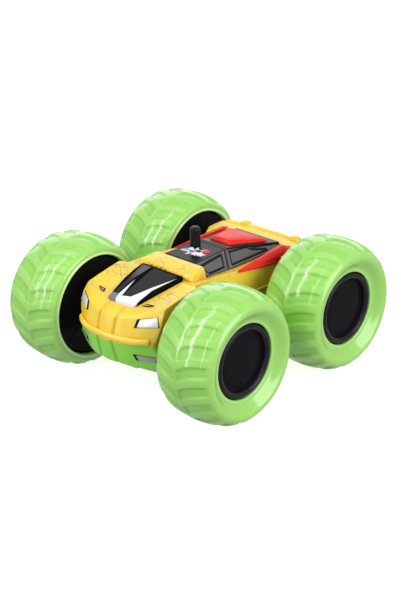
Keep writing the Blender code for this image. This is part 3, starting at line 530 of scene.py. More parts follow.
def grid_mesh(name, points, turn=False, close=False):
    """Make a smooth mesh from a grid of points in millimetres, closed round its rows if asked."""
    rows, columns = points.shape[:2]
    index = np.arange(rows * columns).reshape(rows, columns)
    if close:
        index = np.vstack([index, index[:1]])
    quads = np.stack([index[:-1, :-1], index[:-1, 1:], index[1:, 1:], index[1:, :-1]], axis=-1).reshape(-1, 4)
    if turn:
        quads = quads[:, ::-1]
    mesh = bpy.data.meshes.new(name)
    mesh.from_pydata((points.reshape(-1, 3) * MM).tolist(), [], quads.tolist())
    mesh.shade_smooth()
    return mesh


def paint_mesh(mesh, colours):
    """Write one colour for each vertex."""
    layer = mesh.attributes.new("paint", "FLOAT_COLOR", "POINT")
    full = np.concatenate([colours, np.ones((len(colours), 1))], axis=1)
    layer.data.foreach_set("color", full.astype(np.float32).ravel())


def bevel(made, width, segments=3, angle=20):
    """Round a piece's edges."""
    step = made.modifiers.new("bevel", "BEVEL")
    step.width = width * MM
    step.segments = segments
    step.limit_method = "ANGLE"
    step.angle_limit = math.radians(angle)
    made.data.shade_smooth()
    return made


def hull_mesh(name, points):
    """Make the convex solid round some points, with its flat faces merged."""
    bm = bmesh.new()
    for point in points:
        bm.verts.new(Vector(point) * MM)
    result = bmesh.ops.convex_hull(bm, input=bm.verts)
    spare = [item for item in result["geom_interior"] if isinstance(item, bmesh.types.BMVert)]
    bmesh.ops.delete(bm, geom=spare, context="VERTS")
    bmesh.ops.dissolve_limit(bm, angle_limit=math.radians(4), verts=bm.verts, edges=bm.edges)
    bmesh.ops.recalc_face_normals(bm, faces=bm.faces)
    return bm_mesh(name, bm)


def bm_mesh(name, bm):
    """Write a bmesh into a new mesh."""
    mesh = bpy.data.meshes.new(name)
    bm.to_mesh(mesh)
    bm.free()
    return mesh


def tube_mesh(name, route, radius, tall=1.0):
    """Make a bar along a route, round or taller than it is wide, with domed ends."""
    points = sub_steps(route, radius * 0.45)
    steps = np.gradient(points, axis=0)
    steps /= np.linalg.norm(steps, axis=1, keepdims=True)
    across = np.cross(steps, (0, 0, 1))
    across /= np.linalg.norm(across, axis=1, keepdims=True)
    upward = np.cross(across, steps)
    reach = reach_along(points)
    from_end = np.clip(np.minimum(reach, reach[-1] - reach) / radius, 0, 1)
    width = radius * np.sqrt(np.clip(1 - (1 - from_end) ** 2, 0.0004, 1))
    angles = np.linspace(0, math.tau, 20, endpoint=False)
    angles = angles[:, None]
    ring = across[:, None] * np.cos(angles) + upward[:, None] * np.sin(angles) * tall
    grid = points[:, None] + ring * width[:, None, None]
    return grid_mesh(name, np.swapaxes(grid, 0, 1), True, True)


def rounded(outline, radius=0.35, steps=3):
    """Round the corners of an outline of (radius, along) pairs."""
    outline = [np.array(point, float) for point in outline]
    made = [outline[0]]
    for before, corner, after in zip(outline, outline[1:], outline[2:]):
        back, ahead = before - corner, after - corner
        reach = min(radius, np.linalg.norm(back) * 0.45, np.linalg.norm(ahead) * 0.45)
        start = corner + back / np.linalg.norm(back) * reach
        end = corner + ahead / np.linalg.norm(ahead) * reach
        for share in np.linspace(0, 1, steps + 1):
            made.append(start * (1 - share) ** 2 + corner * 2 * share * (1 - share) + end * share ** 2)
    made.append(outline[-1])
    return made


def turned_piece(name, outline, centre, axis, surface, body, replaced=(), steps=96):
    """Turn a closed or axis-ended outline of (radius, along) pairs about an axis, as a piece."""
    angles = np.linspace(0, math.tau, steps, endpoint=False)
    outline = np.array(outline, float)
    along = Vector(axis)
    first = along.orthogonal().normalized()
    ring = np.outer(np.cos(angles), first) + np.outer(np.sin(angles), along.cross(first))
    grid = np.array(centre) + ring[:, None] * outline[:, :1] + np.array(along) * outline[:, 1:]
    mesh = grid_mesh(name, grid, False, True)
    clean(mesh)
    add_piece(name, mesh, surface, body, replaced)


def hull_piece(name, points, surface, width, replaced=(), segments=3, angle=20):
    """Add the convex solid round some points to the chassis, with its edges rounded."""
    made = add_piece(name, hull_mesh(name, points), surface, "chassis", replaced)
    bevel(made, width, segments, angle)


def block_into(bm, middle, size, turn=Matrix()):
    """Add a block, by its middle and size in millimetres."""
    spot = Matrix.Translation(Vector(middle) * MM)
    bmesh.ops.create_cube(bm, size=1.0, matrix=turn @ spot @ Matrix.Diagonal((*(Vector(size) * MM), 1)))


def pips_piece(name, spots, radius, surface, body, flat=1.0):
    """Add small domes as one piece, flattened across the car if asked."""
    bm = bmesh.new()
    for spot in spots:
        place = Matrix.Translation(Vector(spot) * MM) @ Matrix.Diagonal((flat, 1, 1, 1))
        bmesh.ops.create_uvsphere(bm, u_segments=16, v_segments=10, radius=radius * MM, matrix=place)
    made = add_piece(name, bm_mesh(name, bm), surface, body)
    made.data.shade_smooth()


def thicken(made, thickness, offset):
    """Give a surface piece a wall."""
    wall = made.modifiers.new("wall", "SOLIDIFY")
    wall.thickness = thickness * MM
    wall.offset = offset


def cut_holes(made, cutters):
    """Cut rods and blocks out of a piece, and keep the result as its mesh."""
    cut = new_object("cutters", bm_mesh("cutters", cutters))
    hole = made.modifiers.new("holes", "BOOLEAN")
    hole.operation = "DIFFERENCE"
    hole.solver = "EXACT"
    hole.object = cut
    bpy.context.view_layer.update()
    evaluated = made.evaluated_get(bpy.context.evaluated_depsgraph_get())
    mesh = bpy.data.meshes.new_from_object(evaluated)
    old = made.data
    made.modifiers.clear()
    made.data = mesh
    bpy.data.meshes.remove(old)
    bpy.data.objects.remove(cut, do_unlink=True)


def clean(mesh):
    """Merge points that meet and face every surface outwards."""
    bm = bmesh.new()
    bm.from_mesh(mesh)
    bmesh.ops.remove_doubles(bm, verts=bm.verts, dist=0.000002)
    bmesh.ops.dissolve_degenerate(bm, edges=bm.edges, dist=0.000001)
    bmesh.ops.recalc_face_normals(bm, faces=bm.faces)
    bm.to_mesh(mesh)
    bm.free()
    mesh.shade_smooth()
    mesh.set_sharp_from_angle(angle=math.radians(50))


# ---- wheels
def tyre_surface():
    """Give the tyre's grid of (radius, outward) and the turn of each row, with its pockets sunk."""
    outline = sub_steps(TYRE_OUTLINE, TYRE_STEP)
    rows = LUG_COUNT * LUG_STEPS
    turns = np.arange(rows) * (360 / rows)
    tangent = np.gradient(outline, axis=0)
    normal = np.stack([-tangent[:, 1], tangent[:, 0]], axis=1)
    normal /= np.linalg.norm(normal, axis=1, keepdims=True)
    reach = reach_along(outline)
    crown = np.interp(0, -outline[:, 1], reach)
    across = crown - reach
    pitch = 360 / LUG_COUNT
    sweep = POCKET_SWEEP * (1 - np.exp(-np.abs(across) / POCKET_ROUND))
    offset = np.where(across > 0, 0.0, INNER_SHIFT)
    place = (LUG_PHASE + offset[None, :] + sweep[None, :] - turns[:, None]) % pitch
    per_degree = math.radians(1) * TYRE_RADIUS
    half_length = pitch * POCKET_SHARE / 2 * per_degree
    along = np.abs(place * per_degree - half_length) - half_length
    outer_end = np.where(across > 0, TREAD_OUTER, TREAD_INNER)
    middle = (outer_end + CROWN_RIDGE) / 2
    wide = np.abs(np.abs(across) - middle) - (outer_end - CROWN_RIDGE) / 2
    wide = np.broadcast_to(wide[None, :], along.shape)
    outside = np.hypot(np.maximum(along + POCKET_CORNER, 0), np.maximum(wide + POCKET_CORNER, 0))
    inside = np.minimum(np.maximum(along, wide) + POCKET_CORNER, 0)
    edge = outside + inside - POCKET_CORNER
    sunk = smooth(-edge / POCKET_EDGE)
    fade = smooth((outer_end - np.abs(across)) / POCKET_FADE)
    sunk = sunk * fade[None, :]
    moved = outline[None] - normal[None] * (sunk * POCKET_DEPTH)[..., None]
    # The paint's red is the painted shade in the pockets, its blue the painted highlight on the bead lips.
    lip = np.zeros(len(outline))
    for ridge, reach_mm, share in BEAD_LIP_HIGHLIGHTS:
        lip += share * smooth(LIP_CORE - np.linalg.norm(outline - ridge, axis=1) / reach_mm)
    paint = np.stack([sunk, sunk * 0, np.broadcast_to(lip, sunk.shape)], axis=-1)
    return moved, turns, paint, normal


def wheel_place(local, turns, centre, side):
    """Turn (radius, outward) rows into points about a wheel's centre."""
    angle = np.radians(turns)[:, None]
    points = np.empty((*local.shape[:2], 3))
    points[..., 0] = centre[0] + side * local[..., 1]
    points[..., 1] = centre[1] - local[..., 0] * np.cos(angle)
    points[..., 2] = centre[2] + local[..., 0] * np.sin(angle)
    return points


def wheel(end, word, side, surface):
    """Make one wheel's tyre, hub cap, drum and inner disc ribs."""
    y = HALF_BASE if end == "rear" else -HALF_BASE
    centre = (side * HALF_TRACK, y, AXLE_Z)
    name = f"{end}_{word}"
    body = f"{name}_wheel"
    local, turns, paint, crown_normal = surface
    mesh = grid_mesh(f"{name}_tyre_looks", wheel_place(local, turns, centre, side), side < 0, True)
    # The tyre's paint carries the pockets' painted shade and the bead lips' painted highlight.
    paint_mesh(mesh, paint.reshape(-1, 3))
    facing = wheel_place(np.broadcast_to(crown_normal, local.shape), turns, (0, 0, 0), side)
    layer = mesh.attributes.new("skin", "FLOAT_VECTOR", "POINT")
    layer.data.foreach_set("vector", facing.astype(np.float32).ravel())
    tyre = add_piece(f"{name}_tyre_looks", mesh, VINYL, body, [f"{name}_tyre"])
    thicken(tyre, TYRE_WALL, 1)
    for kind, outline, radius, finish, replaced in (
            ("hub_ring", RING_OUTLINE, 0.3, RING_BLACK, []),
            ("hub_cap_looks", CAP_OUTLINE, 0.3, HUB_BLACK, [f"{name}_hub_cap"]),
            ("drum_looks", DRUM_OUTLINE, 0.25, HUB_BLACK, [f"{name}_wheel_drum"])):
        turned_piece(f"{name}_{kind}", rounded(outline, radius), centre, (side, 0, 0), finish, body,
                     replaced)
    ribs = bmesh.new()
    for number in range(RIB_COUNT):
        angle = math.tau * number / RIB_COUNT + RIB_PHASE
        turn = Matrix.Translation(Vector(centre) * MM) @ Matrix.Rotation(angle, 4, "X")
        block_into(ribs, (side * RIB_MIDDLE[0], 0, RIB_MIDDLE[1]), RIB_SIZE, turn)
    made = add_piece(f"{name}_disc_ribs", bm_mesh(f"{name}_disc_ribs", ribs), HUB_BLACK, body)
    bevel(made, 0.15, 2)
    angles = [math.radians(PIP_PHASE + 360 / PIP_COUNT * number) for number in range(PIP_COUNT)]
    spots = [(centre[0] + side * PIP_OUTWARD, centre[1] - PIP_CIRCLE * math.cos(angle),
              centre[2] + PIP_CIRCLE * math.sin(angle)) for angle in angles]
    pips_piece(f"{name}_hub_pips", spots, 0.75, HUB_BLACK, body, 0.35)


# ---- body halves
def creased(points, rows_before):
    """Split the column at the crease into a narrow V, sunk into the nose."""
    first, middle, last = points[:3]
    half = CREASE_HALF / CREASE_SPACING
    inner = tuple(middle[axis] + (first[axis] - middle[axis]) * half for axis in range(3))
    outer = tuple(middle[axis] + (last[axis] - middle[axis]) * half for axis in range(3))
    depth = CREASE_DEPTH * rows_before
    sunk = (middle[0], middle[1] + depth * CREASE_BACK, middle[2] - depth * CREASE_DOWN)
    return [first, inner, sunk, outer, *points[2:]]


def body_cage(lower):
    """Build a body half's coarse surface, both sides, with creased edges."""
    bm = bmesh.new()
    found = {}

    def vertex(point, side):
        key = tuple(round(value, 4) for value in (side * point[0], *point[1:]))
        if key not in found:
            found[key] = bm.verts.new(Vector(flip(key, lower)) * MM)
        return found[key]

    sections = [creased(section, 0.8 if row == 0 else 0.0) for row, section in enumerate(BODY_SECTIONS)]
    nose_levels = [creased([column[level] for column in NOSE_COLUMNS], 1.0) for level in range(3)]
    tail_levels = [creased([column[level] for column in TAIL_COLUMNS], 0.0) for level in range(3)]
    corner = 6
    nose_rows = [sections[0][:corner + 1]]
    tail_rows = [sections[-1][:corner + 1]]
    for level in range(3):
        nose_rows.append([*nose_levels[level], sections[0][corner + 1 + level]])
        tail_rows.append([*tail_levels[level], sections[-1][corner + 1 + level]])
    for side in (1, -1):
        for rows, turned_in in ((sections, False), (nose_rows, True), (tail_rows, False)):
            for row, following in zip(rows, rows[1:]):
                for step in range(min(len(row), len(following)) - 1):
                    face = [vertex(point, side) for point in
                            (row[step], row[step + 1], following[step + 1], following[step])]
                    if len(set(face)) < 4:
                        continue
                    outwards = (side == 1) != lower
                    bm.faces.new(face if outwards != turned_in else reversed(face))
    bmesh.ops.recalc_face_normals(bm, faces=bm.faces)
    highest = max(bm.faces, key=lambda item: item.calc_center_median().z * (-1 if lower else 1))
    if (highest.normal.z < 0) != lower:
        bmesh.ops.reverse_faces(bm, faces=bm.faces)
    crease = bm.edges.layers.float.new("crease_edge")
    for edge in bm.edges:
        if edge.is_boundary:
            edge[crease] = 1.0
        elif len(edge.link_faces) == 2:
            bend = math.degrees(edge.calc_face_angle(0))
            edge[crease] = min(SHARPEST, max(0.0, (bend - SOFT_BEND) / BEND_SPAN))
    return bm_mesh("body_cage", bm)


def cylinder_into(bm, start, end, radius, segments=24):
    """Add a rod between two points in millimetres."""
    first, last = Vector(start) * MM, Vector(end) * MM
    along = last - first
    turn = Vector((0, 0, 1)).rotation_difference(along).to_matrix().to_4x4()
    bmesh.ops.create_cone(bm, cap_ends=True, segments=segments, radius1=radius * MM, radius2=radius * MM,
                          depth=along.length, matrix=Matrix.Translation((first + last) / 2) @ turn)


def body_half(lower):
    """Make one body half: the smooth shell with its holes, and the ribs, lip and knobs on it."""
    tag, surface, slot = HALVES[lower]
    shell = add_piece(f"{tag}_body", body_cage(lower), surface, "chassis", [f"{tag}_shell"])
    rounder = shell.modifiers.new("rounder", "SUBSURF")
    rounder.levels = rounder.render_levels = 3
    thicken(shell, WALL, -1)
    holes = bmesh.new()
    for side in (1, -1):
        for y in (-HALF_BASE, HALF_BASE):
            start, end = ((side * x, y, AXLE_Z) for x in AXLE_HOLE_X)
            cylinder_into(holes, start, end, AXLE_HOLE_RADIUS)
        for x, y, head in SHELL_SCREWS if lower else ():
            cylinder_into(holes, (side * x, y, UNDER_Z), (side * x, y, head + HEAD_DEPTH), SCREW_HOLE_RADIUS)
    if lower:
        block_into(holes, (0, SWITCH_Y, SWITCH_HOLE_Z), SWITCH_HOLE)
    cut_holes(shell, holes)
    shell.data.shade_smooth()
    shell.data.set_sharp_from_angle(angle=math.radians(42))
    plain = GREEN if lower else PLAIN_YELLOW
    rib = both_sides(REAR_RIB_ROUTE, REAR_RIB_Z, lower)
    add_piece(f"{tag}_rear_rib", tube_mesh("rear_rib", rib, REAR_RIB_RADIUS), plain, "chassis")
    for word, side in SIDES:
        route = [flip((side * x, y, SIDE_RIB_Z), lower) for x, y in SIDE_RIB_ROUTE]
        side_rib = tube_mesh("side_rib", route, SIDE_RIB_RADIUS)
        add_piece(f"{tag}_{word}_side_rib", side_rib, plain, "chassis")
        foot = flip((side * KNOB_XY[0], KNOB_XY[1], KNOB_FOOT_Z), lower)
        # The upper knobs take the orange yellow of painted shade.
        turned_piece(f"{tag}_{word}_knob", rounded(KNOB_OUTLINE, 0.9, 4), foot, (0, 0, -1 if lower else 1),
                     GREEN if lower else SHADED_KNOB_YELLOW, "chassis", steps=40)
    if not lower:
        lip = tube_mesh("front_lip", both_sides(LIP_ROUTE, LIP_Z, False), LIP_RADIUS, LIP_TALL)
        add_piece("front_lip", lip, PLAIN_YELLOW, "chassis")


def both_sides(route, z, lower):
    """Complete a half route across the centre line."""
    left = [(x, y, z) for x, y in route]
    right = [(-x, y, z) for x, y in reversed(route) if x > 0]
    return [flip(point, lower) for point in left + right]


# ---- trim on the body
def canopy(lower):
    """Make the canopy: flat roof, sloping sides with sunk windows, grooves and a folded tail."""
    rows = np.arange(CANOPY_Y[0], CANOPY_Y[-1] + 0.01, CANOPY_STEP)
    roof = np.linspace(0, 1, ROOF_COLUMNS, endpoint=False)
    slope = np.linspace(0, 1, SIDE_COLUMNS)

    def along(values):
        """Give a value for each row, eased over its neighbours."""
        raw = np.pad(np.interp(rows, CANOPY_Y, values), EASED_ROWS // 2, mode="edge")
        return np.convolve(raw, np.ones(EASED_ROWS) / EASED_ROWS, mode="valid")[:, None]

    def over(middle, edge, low, sign=1):
        """Give each row's values down one side, over the roof and down the other side."""
        half = np.concatenate([middle + (edge - middle) * roof, edge + (low - edge) * slope], axis=1)
        return np.concatenate([sign * half[:, :0:-1], half], axis=1)

    edge_x = along(CANOPY_EDGE_X)
    x = over(0 * edge_x, edge_x, along(CANOPY_LOW_X), -1)
    z = over(along(CANOPY_TOP_Z), along(CANOPY_EDGE_Z), along(CANOPY_LOW_Z))
    y = np.broadcast_to(rows[:, None], x.shape)
    side = (np.abs(x) > edge_x).ravel()
    points = np.stack([x, y, z], axis=-1)
    side_yz = np.stack([y.ravel(), z.ravel()], axis=1)
    roof_xy = np.stack([x.ravel(), y.ravel()], axis=1)
    depth = np.zeros(len(side))
    colour = np.tile(CANOPY_BLACK, (len(side), 1))

    def lay(mask, tone, amount=0.0):
        """Lay a tone over the surface where the mask is, at a height of its own."""
        nonlocal depth
        share = np.clip(mask, 0, 1)[:, None]
        colour[:] = colour * (1 - share) + np.array(tone) * share
        depth = depth * (1 - share[:, 0]) + amount * share[:, 0]

    frame_band = (side_yz[:, 1] > 50) & side & (side_yz[:, 0] < 45)
    lay(frame_band * 1.0, FRAME_AND_REFLECTION_GREY)
    tail = side & (line_side(side_yz, TAIL_GROOVE) > 0)
    lay(tail * 1.0, (0.022, 0.022, 0.024))
    for window in (FRONT_WINDOW, REAR_WINDOW):
        gap = signed_distance(side_yz, window)
        lay(smooth((0.55 - gap) / 0.25) * side, CANOPY_BLACK, -0.55)
        lay(smooth((-0.35 - gap) / 0.25) * side, (0.12, 0.117, 0.13), -0.3)
    for groove, width in ((PILLAR_GROOVE, 0.6), (TAIL_GROOVE, 0.5)):
        gap = line_distance(side_yz, groove)
        lay(smooth((width - gap) / 0.25) * side, CANOPY_BLACK, -0.6)
    on_top = ~side
    strip = on_top & (roof_xy[:, 1] > 9.4) & (roof_xy[:, 1] < 15.8)
    lay(strip * 1.0, (0.075, 0.075, 0.08))
    for y_line in (9.6, 11.4):
        lay(smooth((0.45 - np.abs(roof_xy[:, 1] - y_line)) / 0.25) * on_top, CANOPY_BLACK, -0.4)
    if not lower:
        for tone, mask in splash(roof_xy):
            lay(mask * on_top, tone, 0.05)
    across = np.gradient(points, axis=1)
    forward = np.gradient(points, axis=0)
    normal = np.cross(forward, across)
    normal /= np.linalg.norm(normal, axis=-1, keepdims=True)
    normal[normal[..., 2] < 0] *= -1
    points = points + normal * depth.reshape(x.shape)[..., None]
    if lower:
        points[..., 2] = 2 * SEAM_Z - points[..., 2]
    tag = "battery_cover" if lower else "upper_canopy"
    mesh = grid_mesh(f"{tag}_looks", points, lower)
    paint_mesh(mesh, colour)
    made = add_piece(f"{tag}_looks", mesh, CANOPY_PAINT, "chassis", [tag])
    faces_down = mesh.polygons[len(mesh.polygons) // 2].normal.z * (-1 if lower else 1) < 0
    thicken(made, CANOPY_WALL, 1 if faces_down else -1)
    if lower:
        holes = bmesh.new()
        start, end = ((0, COVER_SCREW_Y, z) for z in (UNDER_Z, COVER_SCREW_TOP_Z))
        cylinder_into(holes, start, end, SCREW_HOLE_RADIUS)
        cut_holes(made, holes)


def line_side(points, route):
    """Give how far points lie above an open line that runs along the first axis."""
    route = np.array(route, float)
    return points[:, 1] - np.interp(points[:, 0], route[:, 0], route[:, 1])


def splash(points):
    """Give the colours and shares of the roof's paint splash, a burst with no lettering."""
    layers = []
    for (cx, cy), size, phase, tone in (
            ((1.2, -3.0), 1.0, 0.4, (0.55, 0.05, 0.05)), ((-0.6, -2.6), 1.15, 1.9, (0.85, 0.85, 0.87)),
            ((0.9, -1.2), 0.42, 4.0, (0.01, 0.01, 0.012)), ((-1.8, -3.4), 0.36, 2.2, (0.01, 0.01, 0.012)),
            ((3.8, 1.4), 0.5, 0.9, (0.75, 0.06, 0.05)), ((-5.3, -3.4), 0.42, 3.0, (0.25, 0.45, 0.7)),
            ((4.4, -4.2), 0.5, 5.0, (0.85, 0.85, 0.87))):
        rel = points - np.array((cx, cy))
        angle = np.arctan2(rel[:, 1], rel[:, 0])
        reach = size * (3.6 + 1.35 * np.sin(7 * angle + phase) + 0.8 * np.sin(12 * angle + 2 * phase))
        stretched = np.hypot(rel[:, 0] * 0.8, rel[:, 1] * 1.15)
        layers.append((tone, smooth((reach - stretched) / 0.3 + 0.5)))
    return layers


def hood_insert(lower):
    """Make the hood's windscreen panel: a black frame, sunk dark panels and white stripes."""
    tag = HALVES[lower][0]
    x, y = np.meshgrid(*(np.arange(*reach, INSERT_STEP) for reach in (INSERT_X, INSERT_Y)), indexing="ij")
    flat = np.stack([x.ravel(), y.ravel()], axis=1)
    border = signed_distance(flat, INSERT_OUTLINE)
    near_rim = np.clip(1 + border / INSERT_ROUND, 0, 1)
    height = INSERT_LIFT + INSERT_THICK * np.sqrt(np.clip(1 - near_rim ** 2, 0, 1))
    colour = np.tile((0.003, 0.003, 0.003), (len(flat), 1))
    # The grey stripe is a painted reflection, and the spear a painted highlight.
    for outline, tone, amount in ((INSERT_PANEL, (0.04, 0.04, 0.042), -0.28),
                                  (INSERT_FAR_PANEL, (0.04, 0.04, 0.043), -0.28),
                                  (INSERT_DIM_REFLECTION_STRIPE, (0.22, 0.23, 0.24), 0.06),
                                  *((white, WHITE_STRIPE, 0.1) for white in INSERT_WHITES_AND_HIGHLIGHT)):
        share = smooth(0.5 - signed_distance(flat, outline) / 0.3)
        height += amount * share
        colour = colour * (1 - share[:, None]) + np.array(tone) * share[:, None]
    # Painted reflection: the far panel turns lighter grey towards its rear.
    far_panel_reflection = smooth((-flat[:, 1] - 44) / -10) * smooth(0.5 - signed_distance(flat, INSERT_FAR_PANEL) / 0.3)
    colour = colour * (1 - far_panel_reflection[:, None]) + np.array(FRAME_AND_REFLECTION_GREY) * far_panel_reflection[:, None]
    base = HOOD_REFERENCE[1] + HOOD_TILT * (flat[:, 1] - HOOD_REFERENCE[0])
    step = 0.01
    ahead = [signed_distance(flat + shift, INSERT_OUTLINE) for shift in ((step, 0), (0, step))]
    slope = (np.stack(ahead, axis=1) - border[:, None]) / step
    near = (border > 0) & (border < INSERT_SNAP)
    flat[near] -= slope[near] * border[near, None]
    points = np.stack([flat[:, 0], flat[:, 1], base + height], axis=1)
    if lower:
        points[:, 2] = 2 * SEAM_Z - points[:, 2]
    mesh = grid_mesh(f"{tag}_insert_looks", points.reshape(*x.shape, 3), lower)
    paint_mesh(mesh, colour)
    bm = bmesh.new()
    bm.from_mesh(mesh)
    bm.verts.ensure_lookup_table()
    gone = [bm.verts[number] for number in np.flatnonzero(border >= INSERT_SNAP)]
    bmesh.ops.delete(bm, geom=gone, context="VERTS")
    rim = [edge for edge in bm.edges if edge.is_boundary]
    skirt = bmesh.ops.extrude_edge_only(bm, edges=rim)["geom"]
    drop = Vector((0, 0, INSERT_SKIRT * (1 if lower else -1) * MM))
    for item in skirt:
        if isinstance(item, bmesh.types.BMVert):
            item.co += drop
    bmesh.ops.recalc_face_normals(bm, faces=bm.faces)
    bm.to_mesh(mesh)
    bm.free()
    mesh.shade_smooth()
    add_piece(f"{tag}_insert_looks", mesh, INSERT_PAINT, "chassis", [f"{tag}_hood_insert"])


def trim(lower):
    """Make the bar, cover plate, strakes and lamps of one body half."""
    tag, surface, slot = HALVES[lower]
    corners = [flip((side * x, y, z), lower)
               for section in BAR_SECTIONS for x, y, z in section for side in (1, -1)]
    hull_piece(f"{tag}_bar", corners, surface, 0.4)
    bumps = bmesh.new()
    x, y, z = BUMP_FIRST
    for number in range(BUMP_COUNT):
        block_into(bumps, flip((x + BUMP_PITCH * number, y, z), lower), BUMP_SIZE)
    made = add_piece(f"{tag}_bar_bumps", bm_mesh("bar_bumps", bumps), surface, "chassis")
    bevel(made, 0.4)
    cover = []
    for (half, y, z), inward in ((COVER_FRONT, 1), (COVER_REAR, -1)):
        for side in (1, -1):
            cover += [flip((side * half, y, z + up), lower) for up in COVER_EDGE_Z]
            inset, up = COVER_BEVEL
            cover.append(flip((side * (half - inset), y + inward * inset, z + up), lower))
            share, inset, up = COVER_CROWN
            cover.append(flip((side * half * share, y + inward * inset, z + up), lower))
    hull_piece(f"{tag}_cover_looks", cover, RED, 0.25, [f"{tag}_engine_cover"], angle=12)
    for word, side in SIDES:
        points = [flip((side * x, y, z), lower) for x, y, z in STRAKE_POINTS]
        hull_piece(f"{tag}_{word}_strake_looks", points, RED, 0.2, [f"{tag}_{word}_strake"],
                   angle=12)
        lamp(tag, word, side, lower)
        marker(tag, word, side, lower)


def lamp(tag, word, side, lower):
    """Make a headlight: a black rim, wider at its inner end, round a lens."""
    corners = [Vector(corner) for corner in (LOWER_LAMP_CORNERS if lower else HEADLIGHT_CORNERS)]
    middle = sum(corners, Vector()) / 4
    rim = [corner + (corner - middle).normalized() * RIM_WIDTH for corner in corners]
    inner_shift = (corners[3] - corners[0]).normalized() * RIM_INNER
    lens = [corners[0] + inner_shift, corners[1] + inner_shift, *corners[2:]]
    # The lower lamps' lens is painted grey as a painted darker reflection.
    for kind, outline, heights, surface, slot, replaced in (
            ("rim", rim, (-0.8, 0.12), BLACK, "black_gloss", []),
            ("lens", lens, (-0.6, 0.3), DIM_REFLECTION_LENS if lower else LENS, "white_lens",
             [f"{tag}_{word}_headlight"])):
        points = []
        for corner in outline:
            for x, y, z in (corner + HEADLIGHT_NORMAL * out for out in heights):
                points.append(flip((side * x, y, z), lower))
        hull_piece(f"{tag}_{word}_lamp_{kind}", points, surface, 0.22, replaced)


def marker(tag, word, side, lower):
    """Make the small slot beside the hood panel: a dark surround with a pale floor."""
    # The slot's floor is grey as a painted darker reflection.
    for kind, outline, heights, surface, slot in (
            ("surround", SURROUND, (-0.5, 0.1), BLACK, "black_gloss"),
            ("floor", SLOT_FLOOR, (-0.4, 0.2), DIM_REFLECTION_LENS, "white_lens")):
        points = []
        for x, y in outline:
            z = 54.0 + HOOD_TILT * (y + 60) + 0.09 * max(0, x - 12)
            points += [flip((side * x, y, z + up), lower) for up in heights]
        hull_piece(f"{tag}_{word}_marker_{kind}", points, surface, 0.12, segments=2)


def antenna():
    """Make the short antenna post with its domed top and two small grey pips as painted glints."""
    turned_piece("antenna_looks", rounded(ANTENNA_OUTLINE, 0.8, 5), (*ANTENNA_XY, ANTENNA_FOOT_Z), (0, 0, 1),
                 BLACK, "chassis", ["antenna_post"], 48)
    spots = [(ANTENNA_XY[0] + x, ANTENNA_XY[1] + y, z) for x, y, z in ANTENNA_GLINT_PIPS]
    pips_piece("antenna_glint_pips", spots, 0.6, FRAME_GREY, "chassis")


# ---- the CAD nodes that stay
def finish_nodes():
    """Give the nodes that show as they are their finishes."""
    words = [("gearbox_cover", FRAME_GREY), ("chassis_frame", FRAME_GREY), ("_motor", MOTOR_CAN),
             ("pinion", BRASS), ("gear", NYLON), ("bush", NYLON), ("axle", STEEL), ("screw", STEEL),
             ("battery_pack", CELL), ("control_board", BOARD), ("power_switch", SWITCH_BLACK)]
    for name, node in NODES.items():
        for word, surface in words:
            if word in name:
                for place in node.material_slots:
                    place.material = surface
                if not node.material_slots:
                    node.data.materials.append(surface)
                break


# ---- stage, lights, camera
CAMERA_PLACE = Vector((0.5413, -0.5852, 0.3994))
CAMERA_AZIMUTH = 42.727
CAMERA_ELEVATION = 24.622
CAMERA_ROLL = -1.138
CAMERA_LENS = 99.95
SENSOR_WIDTH = 36.0
TARGET = Vector((0, 0, 0.04))
FLOOR_SIZE = 60.0
FLOOR_GLOW = 0.8
WORLD_LIGHT = 0.5
# Soft lights: place, width, height and brightness.
SOFT_LIGHTS = {"overhead": ((-0.1, 0.1, 1.6), 1.3, 1.3, 0.68),
               "backdrop": ((-1.0, 1.1, 0.5), 2.4, 0.9, 1.1),
               "side_fill": ((1.25, 0.15, 0.55), 1.0, 1.0, 3.9)}
# Narrow lights on arcs over the car's front: sideways share, lowest and highest angle, brightness.
STRIPS = [(-0.55, -4.0, 76.0, 13.0), (-0.34, -6.0, 96.0, 26.0), (0.22, -8.0, 80.0, 15.0)]
STRIP_STEPS = 5
STRIP_END_SHARE = 0.45
STRIP_DISTANCE = 1.2
STRIP_WIDTH = 0.04


def add_light(name, place, width, height, glow):
    """Add a soft rectangle of light that faces the car, given its brightness."""
    light = bpy.data.lights.new(name, "AREA")
    light.shape = "RECTANGLE"
    light.size = width
    light.size_y = height
    light.energy = glow * math.pi * width * height
    made = new_object(name, light)
    back = (place - TARGET).normalized()
    across = Vector((1, 0, 0)) if abs(back.x) < 0.6 else Vector((-back.y, back.x, 0)).normalized()
    upward = back.cross(across).normalized()
    turn = Matrix((upward.cross(back), upward, back)).transposed().to_4x4()
    made.matrix_world = Matrix.Translation(place) @ turn
    made.visible_camera = False


def see_through_from_below(made):
    """Let the floor's underside pass light, so that the car's underside can be looked at."""
    back = link_nodes(made, "NewGeometry").outputs["Backfacing"]
    clear = link_nodes(made, "BsdfTransparent").outputs[0]
    either = link_nodes(made, "MixShader", {0: back, 1: shader_of(made).outputs[0], 2: clear}).outputs[0]
    made.node_tree.links.new(either, made.node_tree.nodes["Material Output"].inputs["Surface"])


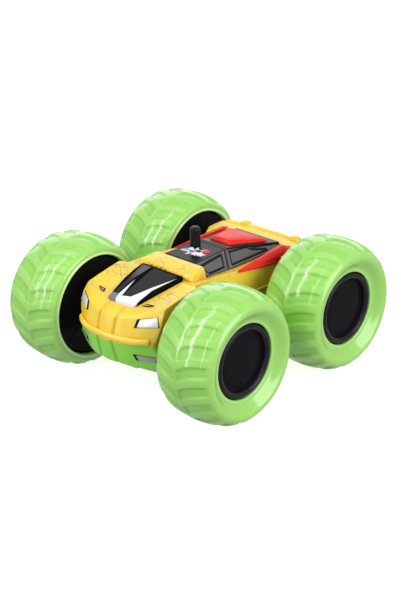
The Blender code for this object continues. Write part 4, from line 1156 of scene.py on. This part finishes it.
def stage_and_camera():
    """Add the floor, the soft lights and the camera."""
    bm = bmesh.new()
    bmesh.ops.create_grid(bm, x_segments=1, y_segments=1, size=FLOOR_SIZE)
    floor = new_object("floor", bm_mesh("floor", bm))
    white = moulded("floor_white", (0.62, 0.62, 0.62), (0.6, 0.6, 0.6), 0.7, patch=3, bump=0.0,
                     specular=0.1)
    set_inputs(white, shader_of(white), {"Emission Color": (1, 1, 1, 1), "Emission Strength": FLOOR_GLOW})
    see_through_from_below(white)
    floor.data.materials.append(white)
    floor.visible_diffuse = False
    floor.visible_glossy = False
    world = bpy.data.worlds.new("studio")
    world.use_nodes = True
    set_inputs(world, world.node_tree.nodes["Background"], {"Color": (1, 1, 1, 1), "Strength": WORLD_LIGHT})
    bpy.context.scene.world = world
    for name, (place, width, height, glow) in SOFT_LIGHTS.items():
        add_light(name, Vector(place), width, height, glow)
    for number, (share, low, high, glow) in enumerate(STRIPS):
        for step in range(STRIP_STEPS):
            angle = math.radians(low + (high - low) * (step + 0.5) / STRIP_STEPS)
            rest = math.sqrt(1 - share * share)
            way = Vector((share, -rest * math.cos(angle), rest * math.sin(angle)))
            length = math.radians(high - low) / STRIP_STEPS * STRIP_DISTANCE * rest
            fade = STRIP_END_SHARE if step in (0, STRIP_STEPS - 1) else 1.0
            add_light(f"strip_{number}_{step}", TARGET + way * STRIP_DISTANCE, STRIP_WIDTH, length,
                      glow * fade)
    camera = bpy.data.cameras.new("camera")
    camera.sensor_width = SENSOR_WIDTH
    camera.lens = CAMERA_LENS
    made = new_object("camera", camera)
    azimuth, elevation, roll = np.radians((CAMERA_AZIMUTH, CAMERA_ELEVATION, CAMERA_ROLL))
    back = Vector((math.sin(azimuth) * math.cos(elevation), -math.cos(azimuth) * math.cos(elevation),
                   math.sin(elevation)))
    right = Vector((0, 0, 1)).cross(back).normalized()
    upward = back.cross(right)
    turned_right = right * math.cos(roll) + upward * math.sin(roll)
    turned_up = upward * math.cos(roll) - right * math.sin(roll)
    rotation = Matrix((turned_right, turned_up, back)).transposed().to_4x4()
    made.matrix_world = Matrix.Translation(CAMERA_PLACE) @ rotation
    bpy.context.scene.camera = made
    bpy.context.scene.view_settings.view_transform = "Standard"


stage_and_camera()
for half in (False, True):
    body_half(half)
    canopy(half)
    hood_insert(half)
    trim(half)
antenna()
TREAD = tyre_surface()
for wheel_word, wheel_side in SIDES:
    for wheel_end in ("front", "rear"):
        wheel(wheel_end, wheel_word, wheel_side, TREAD)
finish_nodes()
